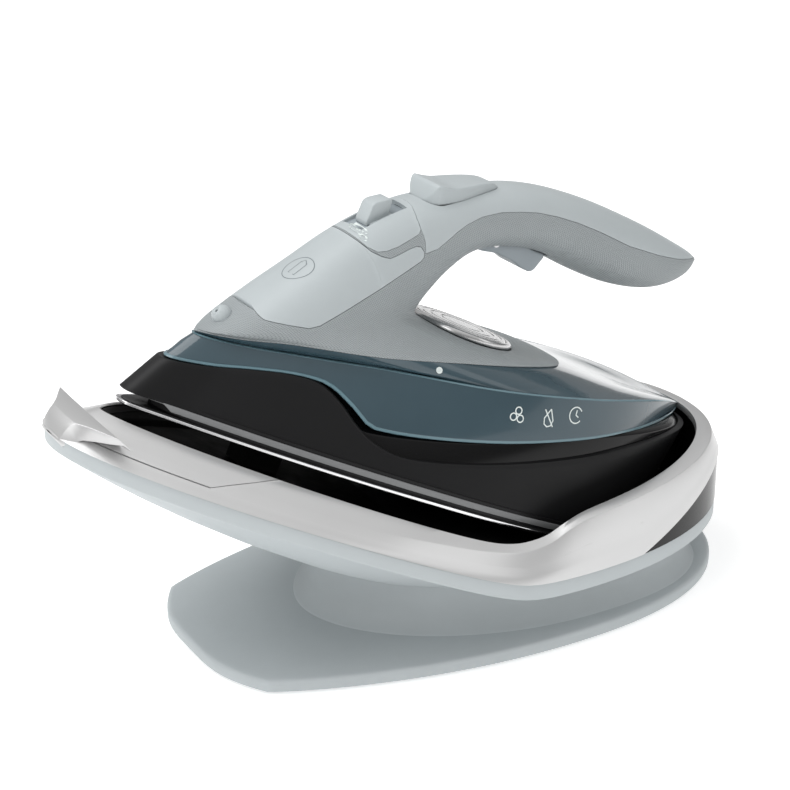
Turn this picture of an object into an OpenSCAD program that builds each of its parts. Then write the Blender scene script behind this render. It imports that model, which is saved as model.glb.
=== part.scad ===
// Cordless steam iron parked on its charging cradle.
// Millimetres. +X to the heel, +Y to the iron's right side, +Z up.
// The origin is on the table under the middle of the base plate; y = 0 is the mid-plane.
// The iron's own pieces are drawn in its frame (s along the sole from the nose, y, t above the sole)
// and put in the cradle by docked().

/* [Iron] */
// Sole length from nose to heel
sole_length = 250; // [244:1:252]
// Greatest sole width
sole_width = 124; // [118:1:126]
// Thickness of the shell walls
wall = 2.4; // [2:0.1:2.8]
// Temperature dial diameter
dial_diameter = 47; // [41:1:47]

/* [Cradle] */
// Base plate length
base_length = 258; // [252:1:262]
// Base plate width
base_width = 155; // [150:1:160]
// Height of the base plate's top above the table
base_top = 6.5; // [6:0.5:6.5]
// Diameter of one rubber foot
foot_diameter = 18; // [14:1:20]

/* [Hidden] */
$fn = 48;

pitch = 25;
nose = [-154.8, 0, 123.7];
n = 20;          // outline points from nose to heel, on one side
gap = 0.4;       // gap between a moving piece and its neighbours

function mix(a, b, u) = a + (b - a) * u;
function clamp(x, a, b) = min(max(x, a), b);
// value at x of a smooth curve through the knots k, a list of [x, value]
function seg(k, x, i = 0) = (i >= len(k) - 2 || x < k[i + 1][0]) ? i : seg(k, x, i + 1);
function curve(k, x) =
    let (i = seg(k, x), a = k[i], b = k[i + 1],
         p = i > 0 ? k[i - 1] : a, q = i < len(k) - 2 ? k[i + 2] : b,
         h = b[0] - a[0], u = clamp((x - a[0]) / h, 0, 1),
         ma = (b[1] - p[1]) / (b[0] - p[0]) * h, mb = (q[1] - a[1]) / (q[0] - a[0]) * h)
    (2 * u * u * u - 3 * u * u + 1) * a[1] + (u * u * u - 2 * u * u + u) * ma
    + (3 * u * u - 2 * u * u * u) * b[1] + (u * u * u - u * u) * mb;

// one loop of points: p(u) gives [x, half width, z] for u from 0 at the nose to 1 at the heel
function station(i) = (1 - cos(180 * i / n)) / 2;
function loop(p) = [
    for (i = [0:n]) let (q = p(station(i))) [q[0], (i == 0 || i == n) ? 0 : q[1], q[2]],
    for (i = [n - 1:-1:1]) let (q = p(station(i))) [q[0], -q[1], q[2]]];
// skin over a list of loops, each further round the section than the last
module skin(L, ring = false) {
    m = len(L);
    c = len(L[0]);
    last = ring ? m - 1 : m - 2;
    side = [for (j = [0:last], i = [0:c - 1])
        let (a = j * c + i, b = j * c + (i + 1) % c,
             d = ((j + 1) % m) * c + i, e = ((j + 1) % m) * c + (i + 1) % c)
        each [[a, b, e], [a, e, d]]];
    o = (m - 1) * c;
    half = c / 2;
    low = [for (i = [0:half - 1]) let (a = i, b = i + 1, d = (c - i - 1) % c, e = (c - i) % c)
        each (i == 0 ? [[a, d, b]] : i == half - 1 ? [[a, e, b]] : [[a, e, d], [a, d, b]])];
    high = [for (f = low) [o + f[0], o + f[2], o + f[1]]];
    polyhedron(points = [for (l = L) each l], faces = ring ? side : concat(side, low, high),
        convexity = 8);
}

// bar over a list of open paths, which go once round its section
module strip(L) {
    m = len(L);
    c = len(L[0]);
    side = [for (j = [0:m - 1], i = [0:c - 2])
        let (a = j * c + i, b = a + 1, d = ((j + 1) % m) * c + i, e = d + 1)
        each [[a, b, e], [a, e, d]]];
    one = [for (j = [1:m - 2]) [0, j * c, (j + 1) * c]];
    two = [for (j = [1:m - 2]) [c - 1, (j + 1) * c + c - 1, j * c + c - 1]];
    polyhedron(points = [for (l = L) each l], faces = concat(side, one, two), convexity = 8);
}

module docked() {
    translate(nose) rotate([0, pitch, 0]) children();
}
// a flat shape in the iron's s-t plane, given a width across
module across(w, y = 0) {
    translate([0, y + w / 2, 0]) rotate([90, 0, 0]) linear_extrude(w) children();
}

// ---------------- outlines of the iron ----------------
W0 = sole_width / 2;
function front(u, m) = pow(sin(90 * min(u / m, 1)), 0.8 - 0.25 * exp(-u / 0.03));
function blunt(x, p) = pow(max(1 - pow(clamp(x, 0, 1), p), 0), 1 / p);
function tail(x) = pow(max(1 - x * x, 0), 0.86);
function widest(t) = 0.72 - 0.0023 * t;
function s0(t) = max(0.66 * t - 1.4, 0);
function s1(t) = sole_length + 0.44 * t;
// housing surface: point at u along and t up, d inside the surface
function body_at(u, t, d = 0) =
    let (m = widest(t), w = (W0 - 0.2 * t) * (u < m ? front(u, m) : blunt((u - m) / (1 - m), 3 - 0.01 * t)))
    [mix(s0(t) + 1.5 * d, s1(t) - d, u), max(w - d, 0.25), t];
// tank surface: the same ahead of the widest station, then drawn in to a narrow tail
function tank_at(u, t, d = 0) =
    let (m = widest(t), x = clamp((u - m) / (1 - m), 0, 1),
         w = (W0 - 0.2 * t) * (u < m ? front(u, m) : tail(x)))
    [mix(s0(t) + 1.5 * d, 280.5 - d, u), max(w - d, 0.25), t];
// heights of the parting lines, by u
function t_housing(u) = curve([[0, 20], [0.05, 23], [0.1, 27.5], [0.15, 31], [0.195, 31.6], [0.245, 27],
    [0.29, 21.6], [0.335, 20.6], [0.455, 24], [0.615, 34], [0.755, 43.5], [0.87, 51], [0.95, 55.6],
    [1, 58]], u);
function t_tank(u) = max(t_housing(u) + 0.3, curve([[0, 20.3], [0.28, 21], [0.35, 23], [0.49, 31.5],
    [0.65, 43.5], [0.745, 50], [0.87, 56.6], [0.95, 59.4], [1, 60.6]], u));
function t_crease(u) = curve([[0, 33], [0.054, 35], [0.16, 41], [0.254, 46], [0.43, 52.5], [0.61, 60],
    [0.77, 65], [0.89, 66], [1, 63.4]], u);
function t_skirt(u) = curve([[0, 33.6], [0.08, 37.4], [0.185, 43], [0.37, 49.5], [0.55, 56.2],
    [0.705, 60.8], [0.84, 64.2], [0.94, 65.8], [1, 66.2]], u);
// lower edge of the skirt, where the upper body meets the tank
function skirt_at(u, d = 0, up = 0) =
    let (m = 0.56, w = 39 * (u < m ? pow(sin(90 * u / m), 0.72) : blunt((u - m) / (1 - m), 2.3)))
    [mix(21.5 + d, 195 - d, u), max(w - d, 0.2), t_skirt(u) + up];

// sections of the column and handle: [front or top point, rear or bottom point, half width]
HANDLE = [
    [[28.5, 39.6], [118, 54], 24.5], [[33, 45], [113, 58.5], 25.6], [[41.5, 55.8], [112.5, 66], 24.8],
    [[53.5, 70.6], [114.2, 73.6], 23], [[65.4, 85.6], [117, 80.4], 21.5], [[77.3, 98], [121.6, 89], 20],
    [[91.2, 109.4], [128.6, 98.2], 19], [[107, 118], [137, 103.4], 18.5],
    [[124.5, 126.2], [148, 106.5], 18.5],
    [[142, 132.4], [158, 108], 19], [[160, 135.8], [171, 107.5], 19.5], [[182, 137], [186, 106], 20],
    [[203, 136.3], [203, 105.4], 20], [[220, 135], [219, 107], 19], [[235, 133.2], [231, 110.5], 16.5],
    [[246, 131.6], [242, 117], 11.5], [[252.5, 130], [250.5, 125.5], 4.5]];
function handle_loop(h, d) =
    let (f = h[0], r = h[1], size = norm(f - r) / 2 - d, e = (f - r) / norm(f - r), o = (f + r) / 2)
    [for (i = [0:21]) let (c = cos(i * 360 / 22), v = sin(i * 360 / 22),
        a = size * sign(c) * pow(abs(c), 0.9), b = (h[2] - d) * sign(v) * pow(abs(v), 0.82))
        [o[0] + e[0] * a, i == 11 ? 0 : b, o[1] + e[1] * a]];
module handle_loft(d = 0, first = 0, last = 16) {
    skin([for (i = [first:last]) handle_loop(HANDLE[i], d)]);
}
// hollow wall of the column and handle
module handle_shell() {
    difference() {
        handle_loft();
        handle_loft(wall, 1, 15);
    }
}

// side views of the pieces that share the column and handle surface
// the lid and what stays behind it; the lid turns about the pin at LID
LID = [41.2, 51.2];
LID_R = 49;      // reach of the lid from its pin
function lid_side(d) = concat([[20, 96], [20, 52.4]],
    [for (a = [160:22:270]) LID + (3 + d) * [cos(a), sin(a)]],
    [[57 + d, 51 - d], [62 + d, 53 - d], [67 + d, 57.5 - d], [98 + d * 1.2, 90.6 - d], [99 + d, 93 + d],
    [95.5 + d, 94 + d], [86, 87.6 + d * 1.2], [80, 86 + d * 1.2], [70, 90 + d * 1.3], [58 - d, 96 + d]]);
PANEL = [[57.5, 97], [70.6, 91.2], [80.2, 87.2], [86, 88.8], [96, 96.2], [98, 105.4], [92.6, 112.5],
    [83, 127], [64, 127]];
COVER = [[83, 127], [92.6, 112.5], [98, 105.4], [99, 94], [107, 99], [117, 108.4], [127, 116.4],
    [140, 123.6], [152, 126.8], [165, 127.6], [180, 127], [205, 125.6], [228, 126], [246, 128.4],
    [262, 131.5], [262, 150], [80, 150]];

// ---------------- outlines of the cradle ----------------
function dock_w(x) =
    let (u = clamp((x + 185) / 316, 0, 1), m = 0.6)
    79.5 * (u < m ? pow(sin(90 * u / m), 0.467) : blunt((u - m) / (1 - m), 2.35));
function ramp(x, t) = nose[2] - (x - nose[0]) * tan(pitch) + t / cos(pitch);
// smooth change from the ramp to a level z0, near where they cross
function soft(a, b, k) = (a + b + sqrt((a - b) * (a - b) + k * k)) / 2;
function z_lip(x) = x < 20 ? max(soft(ramp(x, -7), 50.5, 5), 0) + 9.5 * pow(clamp((x + 8) / 40, 0, 1), 1.5)
    : mix(59.3, 65, clamp((x - 20) / 90, 0, 1));
function z_mid(x) = soft(ramp(x, -20.5), 33.5, 6);
function z_band(x) = soft(ramp(x, -27), 26, 6);
// top of the column, where the belly of the cradle meets it
function z_ped(x) = soft(ramp(x, -38), 25.6, 4);
// lower edge of the rim, which rises over the rear panel
function z_low(x) = z_mid(x) + 22 * clamp((x - 52) / 60, 0, 1);
function xo(u, d = 0) = mix(-185 + d, 131 - d, u);
// outer loop of the cradle at height function z, d inside
function dock_at(u, z, d = 0, lean = 0) =
    let (x = xo(u, d)) [x, max(dock_w(mix(-185, 131, u)) - d - lean, 0.3), z(x)];
// mouth of the well
function mouth_at(u, z, d = 0) =
    let (x = mix(-162.5 + d, 122.5 - d, u), m = 0.6,
         w = 70.5 * (u < m ? pow(sin(90 * u / m), 0.66) : blunt((u - m) / (1 - m), 2.15)))
    [x, max(w - d, 0.3), z(x)];

// ================= cradle =================
module foot_places() {
    for (p = [[-92, 34], [-92, -34], [84, 44], [84, -44]]) translate([p[0], p[1], 0]) children();
}
module screw_places() {
    for (p = [[-44, 22], [-44, -22], [84, 26], [84, -26]]) translate([p[0], p[1], 0]) children();
}
function base_w(x) =
    let (u = clamp((x + base_length / 2) / base_length, 0, 1))
    base_width / 2 * (u < 0.55 ? mix(0.5, 1, pow(sin(90 * u / 0.55), 0.72)) * pow(min(u / 0.05, 1), 0.25)
        : blunt((u - 0.55) / 0.45, 2.35));
module base_outline(d) {
    pts = [for (i = [0:24])
        let (u = (1 - cos(180 * i / 24)) / 2, x = mix(-0.5, 0.5, u) * (base_length - 2 * d))
        [x, max(base_w(x * base_length / (base_length - 2 * d)) - d, 0.01)]];
    polygon(concat(pts, [for (i = [23:-1:1]) [pts[i][0], -pts[i][1]]]));
}
module base_plate() color([0.68, 0.73, 0.75]) {
    difference() {
        union() {
            translate([0, 0, 1.2]) linear_extrude(base_top - 2.2) base_outline(0);
            translate([0, 0, 1.2]) linear_extrude(base_top - 1.2) base_outline(1.2);
        }
        foot_places() translate([0, 0, -1]) cylinder(d = foot_diameter, h = 3);
        translate([0, 0, -1]) cylinder(d = foot_diameter, h = 3);
        screw_places() translate([0, 0, -1]) cylinder(r = 1.75, h = 20);
        screw_places() translate([0, 0, -1]) cylinder(r = 3.6, h = 5);
    }
}
module base_feet() color([0.12, 0.12, 0.12]) {
    foot_places() difference() {
        cylinder(d = foot_diameter - 0.4, h = 2);
        translate([0, 0, -1]) cylinder(d = 5, h = 1.8);
    }
    cylinder(d = foot_diameter - 0.4, h = 2);
}
module base_screws() color([0.7, 0.7, 0.7]) {
    screw_places() {
        translate([0, 0, 2]) cylinder(r = 3.2, h = 2);
        translate([0, 0, 4]) cylinder(r = 1.5, h = 9);
    }
}
// column between base plate and cradle, flared at its foot
function ped_at(u, z, g) =
    let (m = 0.55, f = u < m ? blunt(1 - u / m, 1.9) : blunt((u - m) / (1 - m), 2.8))
    [mix(-68 - g, 109 + g, u), (61.5 + g) * max(f, 0.004), z];
module pedestal() color([0.66, 0.71, 0.73]) {
    difference() {
        skin([
            for (k = [[6.6, 6], [7.8, 4], [9.6, 2.2], [12, 0.8], [16, 0]])
                loop(function(u) ped_at(u, k[0], k[1])),
            for (g = [0, -2.6]) loop(function(u) let (q = ped_at(u, 0, g)) [q[0], q[1], z_ped(q[0]) - 0.3]),
            loop(function(u) ped_at(u, 6.6, -2.6))
        ], ring = true);
        translate([96, 0, 17]) rotate([0, 90, 0]) cylinder(r = 4.55, h = 30);
        tub_room();
    }
    screw_places() difference() {
        translate([0, 0, 6.6]) cylinder(r = 4, h = 7.2);
        cylinder(r = 1.6, h = 40);
    }
}
// hull-shaped lower shell: a band under the rim, and a belly drawn in to the column
function belly(u, k, d) =
    let (q = dock_at(u, function(x) z_band(x), 1.2 + d), g = ped_at(u, 0, -3.4 - d))
    [mix(q[0], g[0], k), mix(q[1], g[1], k), mix(q[2], z_ped(g[0]), 1 - pow(1 - k, 1.5)) + d];
module dock_shell() color([0.72, 0.77, 0.79]) {
    difference() {
        skin([
            loop(function(u) dock_at(u, function(x) z_mid(x) - 0.1, 0.6)),
            loop(function(u) dock_at(u, function(x) z_band(x) + 0.8, 0.5)),
            for (k = [0, 0.12, 0.3, 0.6, 1]) loop(function(u) belly(u, k, 0)),
            for (k = [1, 0.6, 0.3, 0.12]) loop(function(u) belly(u, k, 2)),
            loop(function(u) dock_at(u, function(x) z_band(x) + 2.6, 3)),
            loop(function(u) dock_at(u, function(x) z_mid(x) - 0.1, 3))
        ], ring = true);
        latch_lip(0.4);
        tub_room();
    }
}
// silver rim: a bevel down the ramp, an upright ribbon with a flat top round the heel
function crease_drop(x) = mix(3.6, 0.8, clamp((x + 40) / 80, 0, 1));
function crease_in(x) = mix(7, 3.2, clamp((x + 40) / 80, 0, 1));
module dock_rim() color([0.78, 0.77, 0.76]) {
    difference() {
        skin([
            loop(function(u) mouth_at(u, function(x) z_lip(x) - 3)),
            loop(function(u) mouth_at(u, function(x) z_lip(x))),
            loop(function(u) rim_crease(u, 0)),
            loop(function(u) rim_crease(u, 0.75)),
            loop(function(u) dock_at(u, function(x) z_low(x), 0)),
            loop(function(u) dock_at(u, function(x) z_low(x), 2)),
            loop(function(u) let (q = rim_crease(u, 0.4)) [q[0] * 0.985, max(q[1] - 2.4, 0.2), q[2] - 2.6])
        ], ring = true);
        intersection() {
            plate_bar(2, 2.6, 0.3, -0.5);
            linear_extrude(200) latch_outline(0.55);
        }
        latch_lip(0.4);
    }
}
// k = 0 at the crease, 1 at the lower edge of the outer face
function rim_crease(u, k) =
    let (o = dock_at(u, function(x) z_low(x), 0), x = xo(u), i = crease_in(x),
         m = mouth_at(u, function(x) z_lip(x)), f = clamp((-20 - x) / 60, 0, 1),
         top = [mix(x - i * (u - 0.5) * 1.6, mix(o[0], m[0], 0.5), f),
                max(mix(o[1] - i, mix(o[1], m[1], 0.5), f), 0.3),
                mix(z_lip(x) - crease_drop(x), mix(o[2], m[2], 0.55), f)])
    [mix(top[0], o[0], k), mix(top[1], o[1], k), mix(top[2], o[2], k)];
// black cover of the contacts, behind the heel and under the ribbon
module rear_panel() color([0.07, 0.07, 0.07]) {
    intersection() {
        skin([
            loop(function(u) dock_at(u, function(x) z_mid(x) + 0.05, 0.2)),
            loop(function(u) dock_at(u, function(x) max(z_low(x) - 0.25, z_mid(x) + 0.4), 0.2)),
            loop(function(u) dock_at(u, function(x) max(z_low(x) - 0.25, z_mid(x) + 0.4), 2.2)),
            loop(function(u) dock_at(u, function(x) z_mid(x) + 0.05, 2.2))
        ], ring = true);
        translate([53, -90, 20]) cube([100, 180, 60]);
    }
}
// black tub the iron stands in
function floor_at(u, d) =
    let (v = 1 - pow(1 - u, 1.35), t = mix(-15, -3, clamp((v - 0.3) / 0.46, 0, 1)) - 0.8 * d,
         q = body_at(v, 0, -1.2 - 0.8 * d), s = q[0])
    [nose[0] + s * cos(pitch) + t * sin(pitch), q[1], nose[2] - s * sin(pitch) + t * cos(pitch)];
function tub_at(u, k, d) =
    let (m = mouth_at(u, function(x) z_lip(x) - 5.4, -0.8 * d), f = floor_at(u, d),
         w = mix(0.84, 0.5, clamp((u - 0.78) / 0.2, 0, 1)),
         v = k < 0.35 ? k * 0.2 : min(mix(0.07, w, (k - 0.35) / 0.3), mix(w, 1, (k - 0.65) / 0.35)))
    [mix(m[0], f[0], v), mix(m[1], f[1], v), mix(m[2], f[2], k)];
module well_tub() color([0.05, 0.05, 0.05]) {
    skin([
        for (k = [1, 0.92, 0.65, 0.35, 0]) loop(function(u) tub_at(u, k, 2)),
        for (k = [0, 0.35, 0.65, 0.92, 1]) loop(function(u) tub_at(u, k, 0.2))
    ]);
}
module tub_room() {
    skin([for (k = [1, 0.92, 0.65, 0.35, 0]) loop(function(u) tub_at(u, k, 2.3))]);
}
module well_pads() color([0.25, 0.25, 0.26]) {
    docked() for (p = [[212, 30], [212, -30], [70, 0]]) difference() {
        translate([p[0] - 9, p[1] - 7, p[0] > 100 ? -3.3 : -14.8]) cube([18, 14, p[0] > 100 ? 3.2 : 14.7]);
        translate([p[0], p[1], -1.6]) cylinder(r = 2, h = 4);
    }
}
module pin_places() {
    for (y = [-9, 0, 9]) translate([100, y, 0]) children();
}
module contact_block() color([0.1, 0.1, 0.1]) {
    difference() {
        translate([93.5, -16, 30.2]) cube([13, 32, 8]);
        pin_places() translate([0, 0, 20]) cylinder(r = 1.55, h = 30);
    }
}
module contact_pins() color([0.8, 0.66, 0.3]) {
    pin_places() {
        translate([0, 0, 30]) cylinder(r = 1.5, h = 19);
        translate([0, 0, 49]) cylinder(r1 = 1.5, r2 = 0.7, h = 1.6);
    }
}
// inlet for the supply cord, at the back of the column
module power_inlet() color([0.08, 0.08, 0.08]) {
    difference() {
        translate([0, 0, 17]) rotate([0, 90, 0]) {
            translate([0, 0, 101]) cylinder(r = 4.5, h = 12.5);
            translate([0, 0, 99]) cylinder(r = 6.4, h = 2);
        }
        translate([90, 0, 17]) rotate([0, 90, 0]) cylinder(r = 3.2, h = 30);
    }
}
module supply_board() color([0.1, 0.35, 0.2]) {
    difference() {
        translate([-36, -24, 10]) cube([44, 48, 1.6]);
        for (p = [[-32, 20], [-32, -20], [4, 20], [4, -20]])
            translate([p[0], p[1], 8]) cylinder(r = 1.6, h = 6);
    }
    translate([-28, -5, 11.6]) cube([14, 10, 8]);
    translate([-4, 0, 11.6]) cylinder(r = 4, h = 9);
}
// silver plate over the cradle's nose, with a finger lip; it slides forward to free the iron
module latch_plate() color([0.8, 0.79, 0.78]) {
    intersection() {
        plate_bar(0, 1.3, 0, 0.45);
        linear_extrude(200) latch_outline(0);
    }
    latch_lip(0);
}
module latch_lip(d) {
    hull() {
        translate([-166.5, -3.5 - d, 116.6 - d]) cube([1 + d, 7 + 2 * d, 3.4 + 2 * d]);
        translate([-180.5 - d, -10 - d, 115 - d]) cube([1 + 2 * d, 20 + 2 * d, 6.6 + 2 * d]);
        translate([-185.8 - d, -6.5 - d, 113.4 - d]) cube([0.8 + d, 13 + 2 * d, 3 + 2 * d]);
    }
}
// the bar follows the bevel round the nose: up above it, down below it
module plate_bar(up, down, out, k) {
    function m(u) = mouth_at(u, function(x) z_lip(x), out);
    function c(u, f) = rim_crease(u, f);
    function low(q) = [q[0] + down / 2, max(q[1] - down / 2, 0), q[2] - down];
    function high(q) = [q[0] - up / 2, q[1] > 0 ? q[1] + up / 2 : 0, q[2] + up];
    function path(f) = [for (i = [6:-1:0]) let (q = f(station(i))) [q[0], i == 0 ? 0 : q[1], q[2]],
        for (i = [1:6]) let (q = f(station(i))) [q[0], -q[1], q[2]]];
    strip([path(function(u) let (q = m(u)) [q[0], q[1], q[2] - down]),
        path(function(u) let (q = m(u)) [q[0], q[1], q[2] + up]),
        path(function(u) high(c(u, 0))), path(function(u) high(c(u, abs(k)))),
        path(function(u) low(c(u, abs(k)))), path(function(u) low(c(u, 0)))]);
}
module latch_outline(d) {
    polygon([[-210, -70], [-138 + d, -70], [-137 + d, -51 - d], [-106 + d, -44.4 - d], [-104.6 + d, -40],
        [-104.6 + d, 40], [-106 + d, 44.4 + d], [-137 + d, 51 + d], [-138 + d, 70], [-210, 70]]);
}

// ================= iron =================
module sole_outline(d) {
    pts = loop(function(u) body_at(u, 0, d));
    polygon([for (p = pts) [p[0], p[1]]]);
}
module soleplate() color([0.85, 0.86, 0.88]) docked() {
    difference() {
        union() {
            linear_extrude(1.6) sole_outline(0.8);
            translate([0, 0, 0.8]) linear_extrude(2.2) sole_outline(0);
        }
        for (s = [40:14:180], y = [-1, 1]) translate([s, y * (s * 0.19 + 4), -1]) cylinder(r = 1.1, h = 6);
        for (s = [96:14:194]) translate([s, 0, -1]) cylinder(r = 1.1, h = 6);
    }
}
module heater_casting() color([0.6, 0.61, 0.62]) docked() {
    difference() {
        union() {
            translate([0, 0, 3.05]) linear_extrude(4.9) sole_outline(2.6);
            translate([0, 0, 7.95]) linear_extrude(7) sole_outline(11);
        }
        for (y = [-27, 27]) translate([90, y, 9]) rotate([0, 90, 0]) cylinder(r = 4, h = 120);
        housing_screw_places() translate([0, 0, -6]) cylinder(r = 1.55, h = 20);
        translate([100, 0, 11]) cylinder(r = 17, h = 6);
        translate([144.8, 0, 12.5]) cylinder(r = 10.1, h = 6);
    }
}
module heating_element() color([0.45, 0.42, 0.4]) docked() {
    for (y = [-27, 27]) translate([91, y, 9]) rotate([0, 90, 0]) cylinder(r = 3.9, h = 118);
}
module sole_seal() color([0.03, 0.03, 0.03]) docked() {
    difference() {
        translate([0, 0, 8]) linear_extrude(1.6) sole_outline(4.6);
        translate([0, 0, 7]) linear_extrude(4) sole_outline(9);
    }
}
module lower_housing() color([0.14, 0.14, 0.145]) docked() {
    difference() {
        skin([
            for (k = [0, 0.12, 0.5, 1])
                loop(function(u) body_at(u, mix(9.7, t_housing(u), k), k < 0.05 ? 2.2 : 1)),
            for (k = [1, 0.5, 0]) loop(function(u) body_at(u, mix(9.7, t_housing(u), k), 1 + wall))
        ], ring = true);
        rotate([0, -pitch, 0]) translate(-nose) translate([94, -15, 20]) cube([14, 30, 60]);
    }
}
module chassis() color([0.04, 0.04, 0.045]) docked() {
    difference() {
        skin([
            loop(function(u) body_at(u, t_housing(u) - 7, 1.5 + wall)),
            loop(function(u) body_at(u, t_housing(u) - 0.8, 1.5 + wall)),
            loop(function(u) body_at(u, max(t_tank(u) - 3, t_housing(u) - 0.6), 1.5 + wall)),
            loop(function(u) body_at(u, t_tank(u) - 2.2, u < 0.3 ? 1.3 + wall : 4.6)),
            loop(function(u) tank_at(u, t_tank(u) - 1.8, 5.6)),
            loop(function(u) tank_at(u, t_tank(u) - 3.8, 5.6)),
            loop(function(u) body_at(u, t_tank(u) - 4.8, 6.4)),
            loop(function(u) body_at(u, t_housing(u) - 7, 2.9 + wall))
        ], ring = true);
        rotate([0, -pitch, 0]) translate(-nose) translate([94, -15, 20]) cube([14, 30, 33]);
    }
}
// socket block in the heel that drops over the cradle's three pins
module heel_contacts() color([0.12, 0.12, 0.12]) {
    difference() {
        translate([94.6, -14, 45.6]) cube([12, 28, 9]);
        pin_places() cylinder(r = 2.1, h = 53);
    }
}
module water_tank() color([0.25, 0.36, 0.4, 0.75]) docked() {
    difference() {
        union() {
            skin([
                loop(function(u) tank_at(u, t_tank(u), 1)),
                loop(function(u) tank_at(u, mix(t_tank(u), t_crease(u), 0.5), 0.8)),
                loop(function(u) tank_at(u, t_crease(u) - 0.6, 0.9)),
                loop(function(u) let (q = tank_at(u, t_crease(u), 1.6)) [q[0], q[1], q[2] + 0.3]),
                loop(function(u) skirt_at(u, 0.2, -0.1)),
                loop(function(u) skirt_at(u, 3, -0.1)),
                loop(function(u) skirt_at(u, 3, -2.4)),
                loop(function(u) let (q = tank_at(u, t_crease(u), 1.4 + wall)) [q[0], q[1], q[2] - 2.2]),
                loop(function(u) tank_at(u, mix(t_tank(u), t_crease(u), 0.4), 1 + wall)),
                loop(function(u) tank_at(u, t_tank(u) + wall, 1.2 + wall))
            ]);
            translate([144.8, 0, 30]) cylinder(r = 5.4, h = 28);
        }
        translate([144.8, 0, 0]) cylinder(r = 3.5, h = 80);
        translate([60, 0, 20]) cylinder(r = 3, h = 20);
    }
}
module pickup_tube() color([0.75, 0.78, 0.78]) docked() {
    translate([104, 0, 28.6]) difference() {
        cylinder(r = 2.2, h = 55.4);
        translate([0, 0, -1]) cylinder(r = 1.4, h = 90);
    }
}
// skirt, column and the underside of the handle: one textured shell
module skirt_plate() {
    rise = function(u) mix(3.4, 1, clamp(u / 0.6, 0, 1));
    skin([
        loop(function(u) skirt_at(u, 3.2, -2)), loop(function(u) skirt_at(u, 3.2, 0.05)),
        loop(function(u) skirt_at(u, 0, 0.05)), loop(function(u) skirt_at(u, 0.4, rise(u) * 0.35)),
        loop(function(u) let (q = skirt_at(u, 2)) [q[0], q[1] * 0.95, q[2] + rise(u) * 0.65]),
        loop(function(u) let (q = skirt_at(u, 8)) [q[0], q[1] * 0.7, q[2] + rise(u)])
    ]);
}
module lid_bracket() {
    for (y = [-4.5, 4.5]) across(2.2, y) {
        translate(LID) circle(r = 1.7);
        polygon([LID + [-1.3, -1], LID + [1.6, -0.4], [45, 45], [44, 41.5], [38, 41.5], [38.8, 46]]);
    }
}
module upper_body() color([0.6, 0.64, 0.66]) docked() {
    difference() {
        union() {
            handle_shell();
            skirt_plate();
            across(36.6) polygon([[152, 117.8], [168, 117.8], [168, 119.8], [152, 119.8]]);
            button_axis() translate([-7, -17, -14.4]) cube([14, 34, 2]);
        }
        across(100) polygon(lid_side(gap));
        across(100) polygon(PANEL);
        across(100) polygon(COVER);
        across(20.8) polygon([[129.2, 94], [130.6, 106], [137, 111.6], [152, 113.4], [167.2, 112.4],
            [167.2, 94]]);
        translate([144.8, 0, 62.6]) cylinder(d = dial_diameter + 1.6, h = 14);
        translate([144.8, 0, 50]) cylinder(r = 4.4, h = 20);
        translate([72, 0, 40]) cylinder(r = 12, h = 18);
        translate([104, 0, 40]) cylinder(r = 2.4, h = 30);
        translate([31.2, 0, 42.6]) sphere(r = 4.45);
        translate([31.2, 0, 42.6]) rotate([0, 50, 0]) cylinder(r = 2.5, h = 12);
        translate([137.5, 0, 106.6]) rotate([90, 0, 0]) cylinder(r = 1.5, h = 24, center = true);
    }
    difference() {
        lid_bracket();
        translate([LID[0], 0, LID[1]]) rotate([90, 0, 0]) cylinder(r = 0.95, h = 30, center = true);
    }
}
// what stays of the smooth front when the lid is open
module filler_surround() color([0.74, 0.78, 0.79]) docked() {
    difference() {
        intersection() {
            handle_shell();
            across(100) polygon(lid_side(0));
        }
        translate([LID[0], 0, LID[1]]) rotate([90, 0, 0]) cylinder(r = LID_R + 0.3, h = 100, center = true);
    }
}
module handle_cover() color([0.74, 0.78, 0.79]) docked() {
    difference() {
        intersection() {
            handle_shell();
            across(100) polygon(COVER);
        }
        button_prism(0.5, 12);
    }
}
module control_panel() color([0.74, 0.78, 0.79]) docked() {
    difference() {
        intersection() {
            handle_shell();
            across(100) polygon(PANEL);
        }
        on_panel() translate([-8.4, -8, -8]) cube([24.8, 16, 16]);
    }
}
// the line the steam slider runs on, up the panel
module on_panel() {
    translate([77.3, 0, 98]) rotate([0, -39.4, 0]) children();
}
module steam_slider() color([0.72, 0.76, 0.77]) docked() on_panel() {
    across(9) polygon([[-2.6, -1], [6.8, 5.6], [13.2, 4.3], [11, -1]]);
    translate([-4, -7.5, -3.4]) cube([16, 15, 3.2]);
    translate([2, -3, -6.6]) cube([4, 6, 3.4]);
}
module slider_rod() color([0.7, 0.7, 0.7]) docked() on_panel() {
    translate([4, 0, -26]) cylinder(r = 1.5, h = 19.3);
}
module button_axis() {
    translate([110, 0, 121.4]) rotate([0, -22.6, 0]) children();
}
module button_prism(d, deep) {
    button_axis() translate([0, 0, -deep]) linear_extrude(deep + 12)
        polygon([[-13.8 - d, 0], [-13.2 - d, -9], [-11.6 - d, -11.4 - d], [-8, -12 - d], [3, -11 - d],
            [14, -8.6 - d], [21 + d, -6.4 - d], [24 + d, -3.6], [24 + d, 3.6], [21 + d, 6.4 + d],
            [14, 8.6 + d], [3, 11 + d], [-8, 12 + d], [-11.6 - d, 11.4 + d], [-13.2 - d, 9]]);
}
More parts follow.
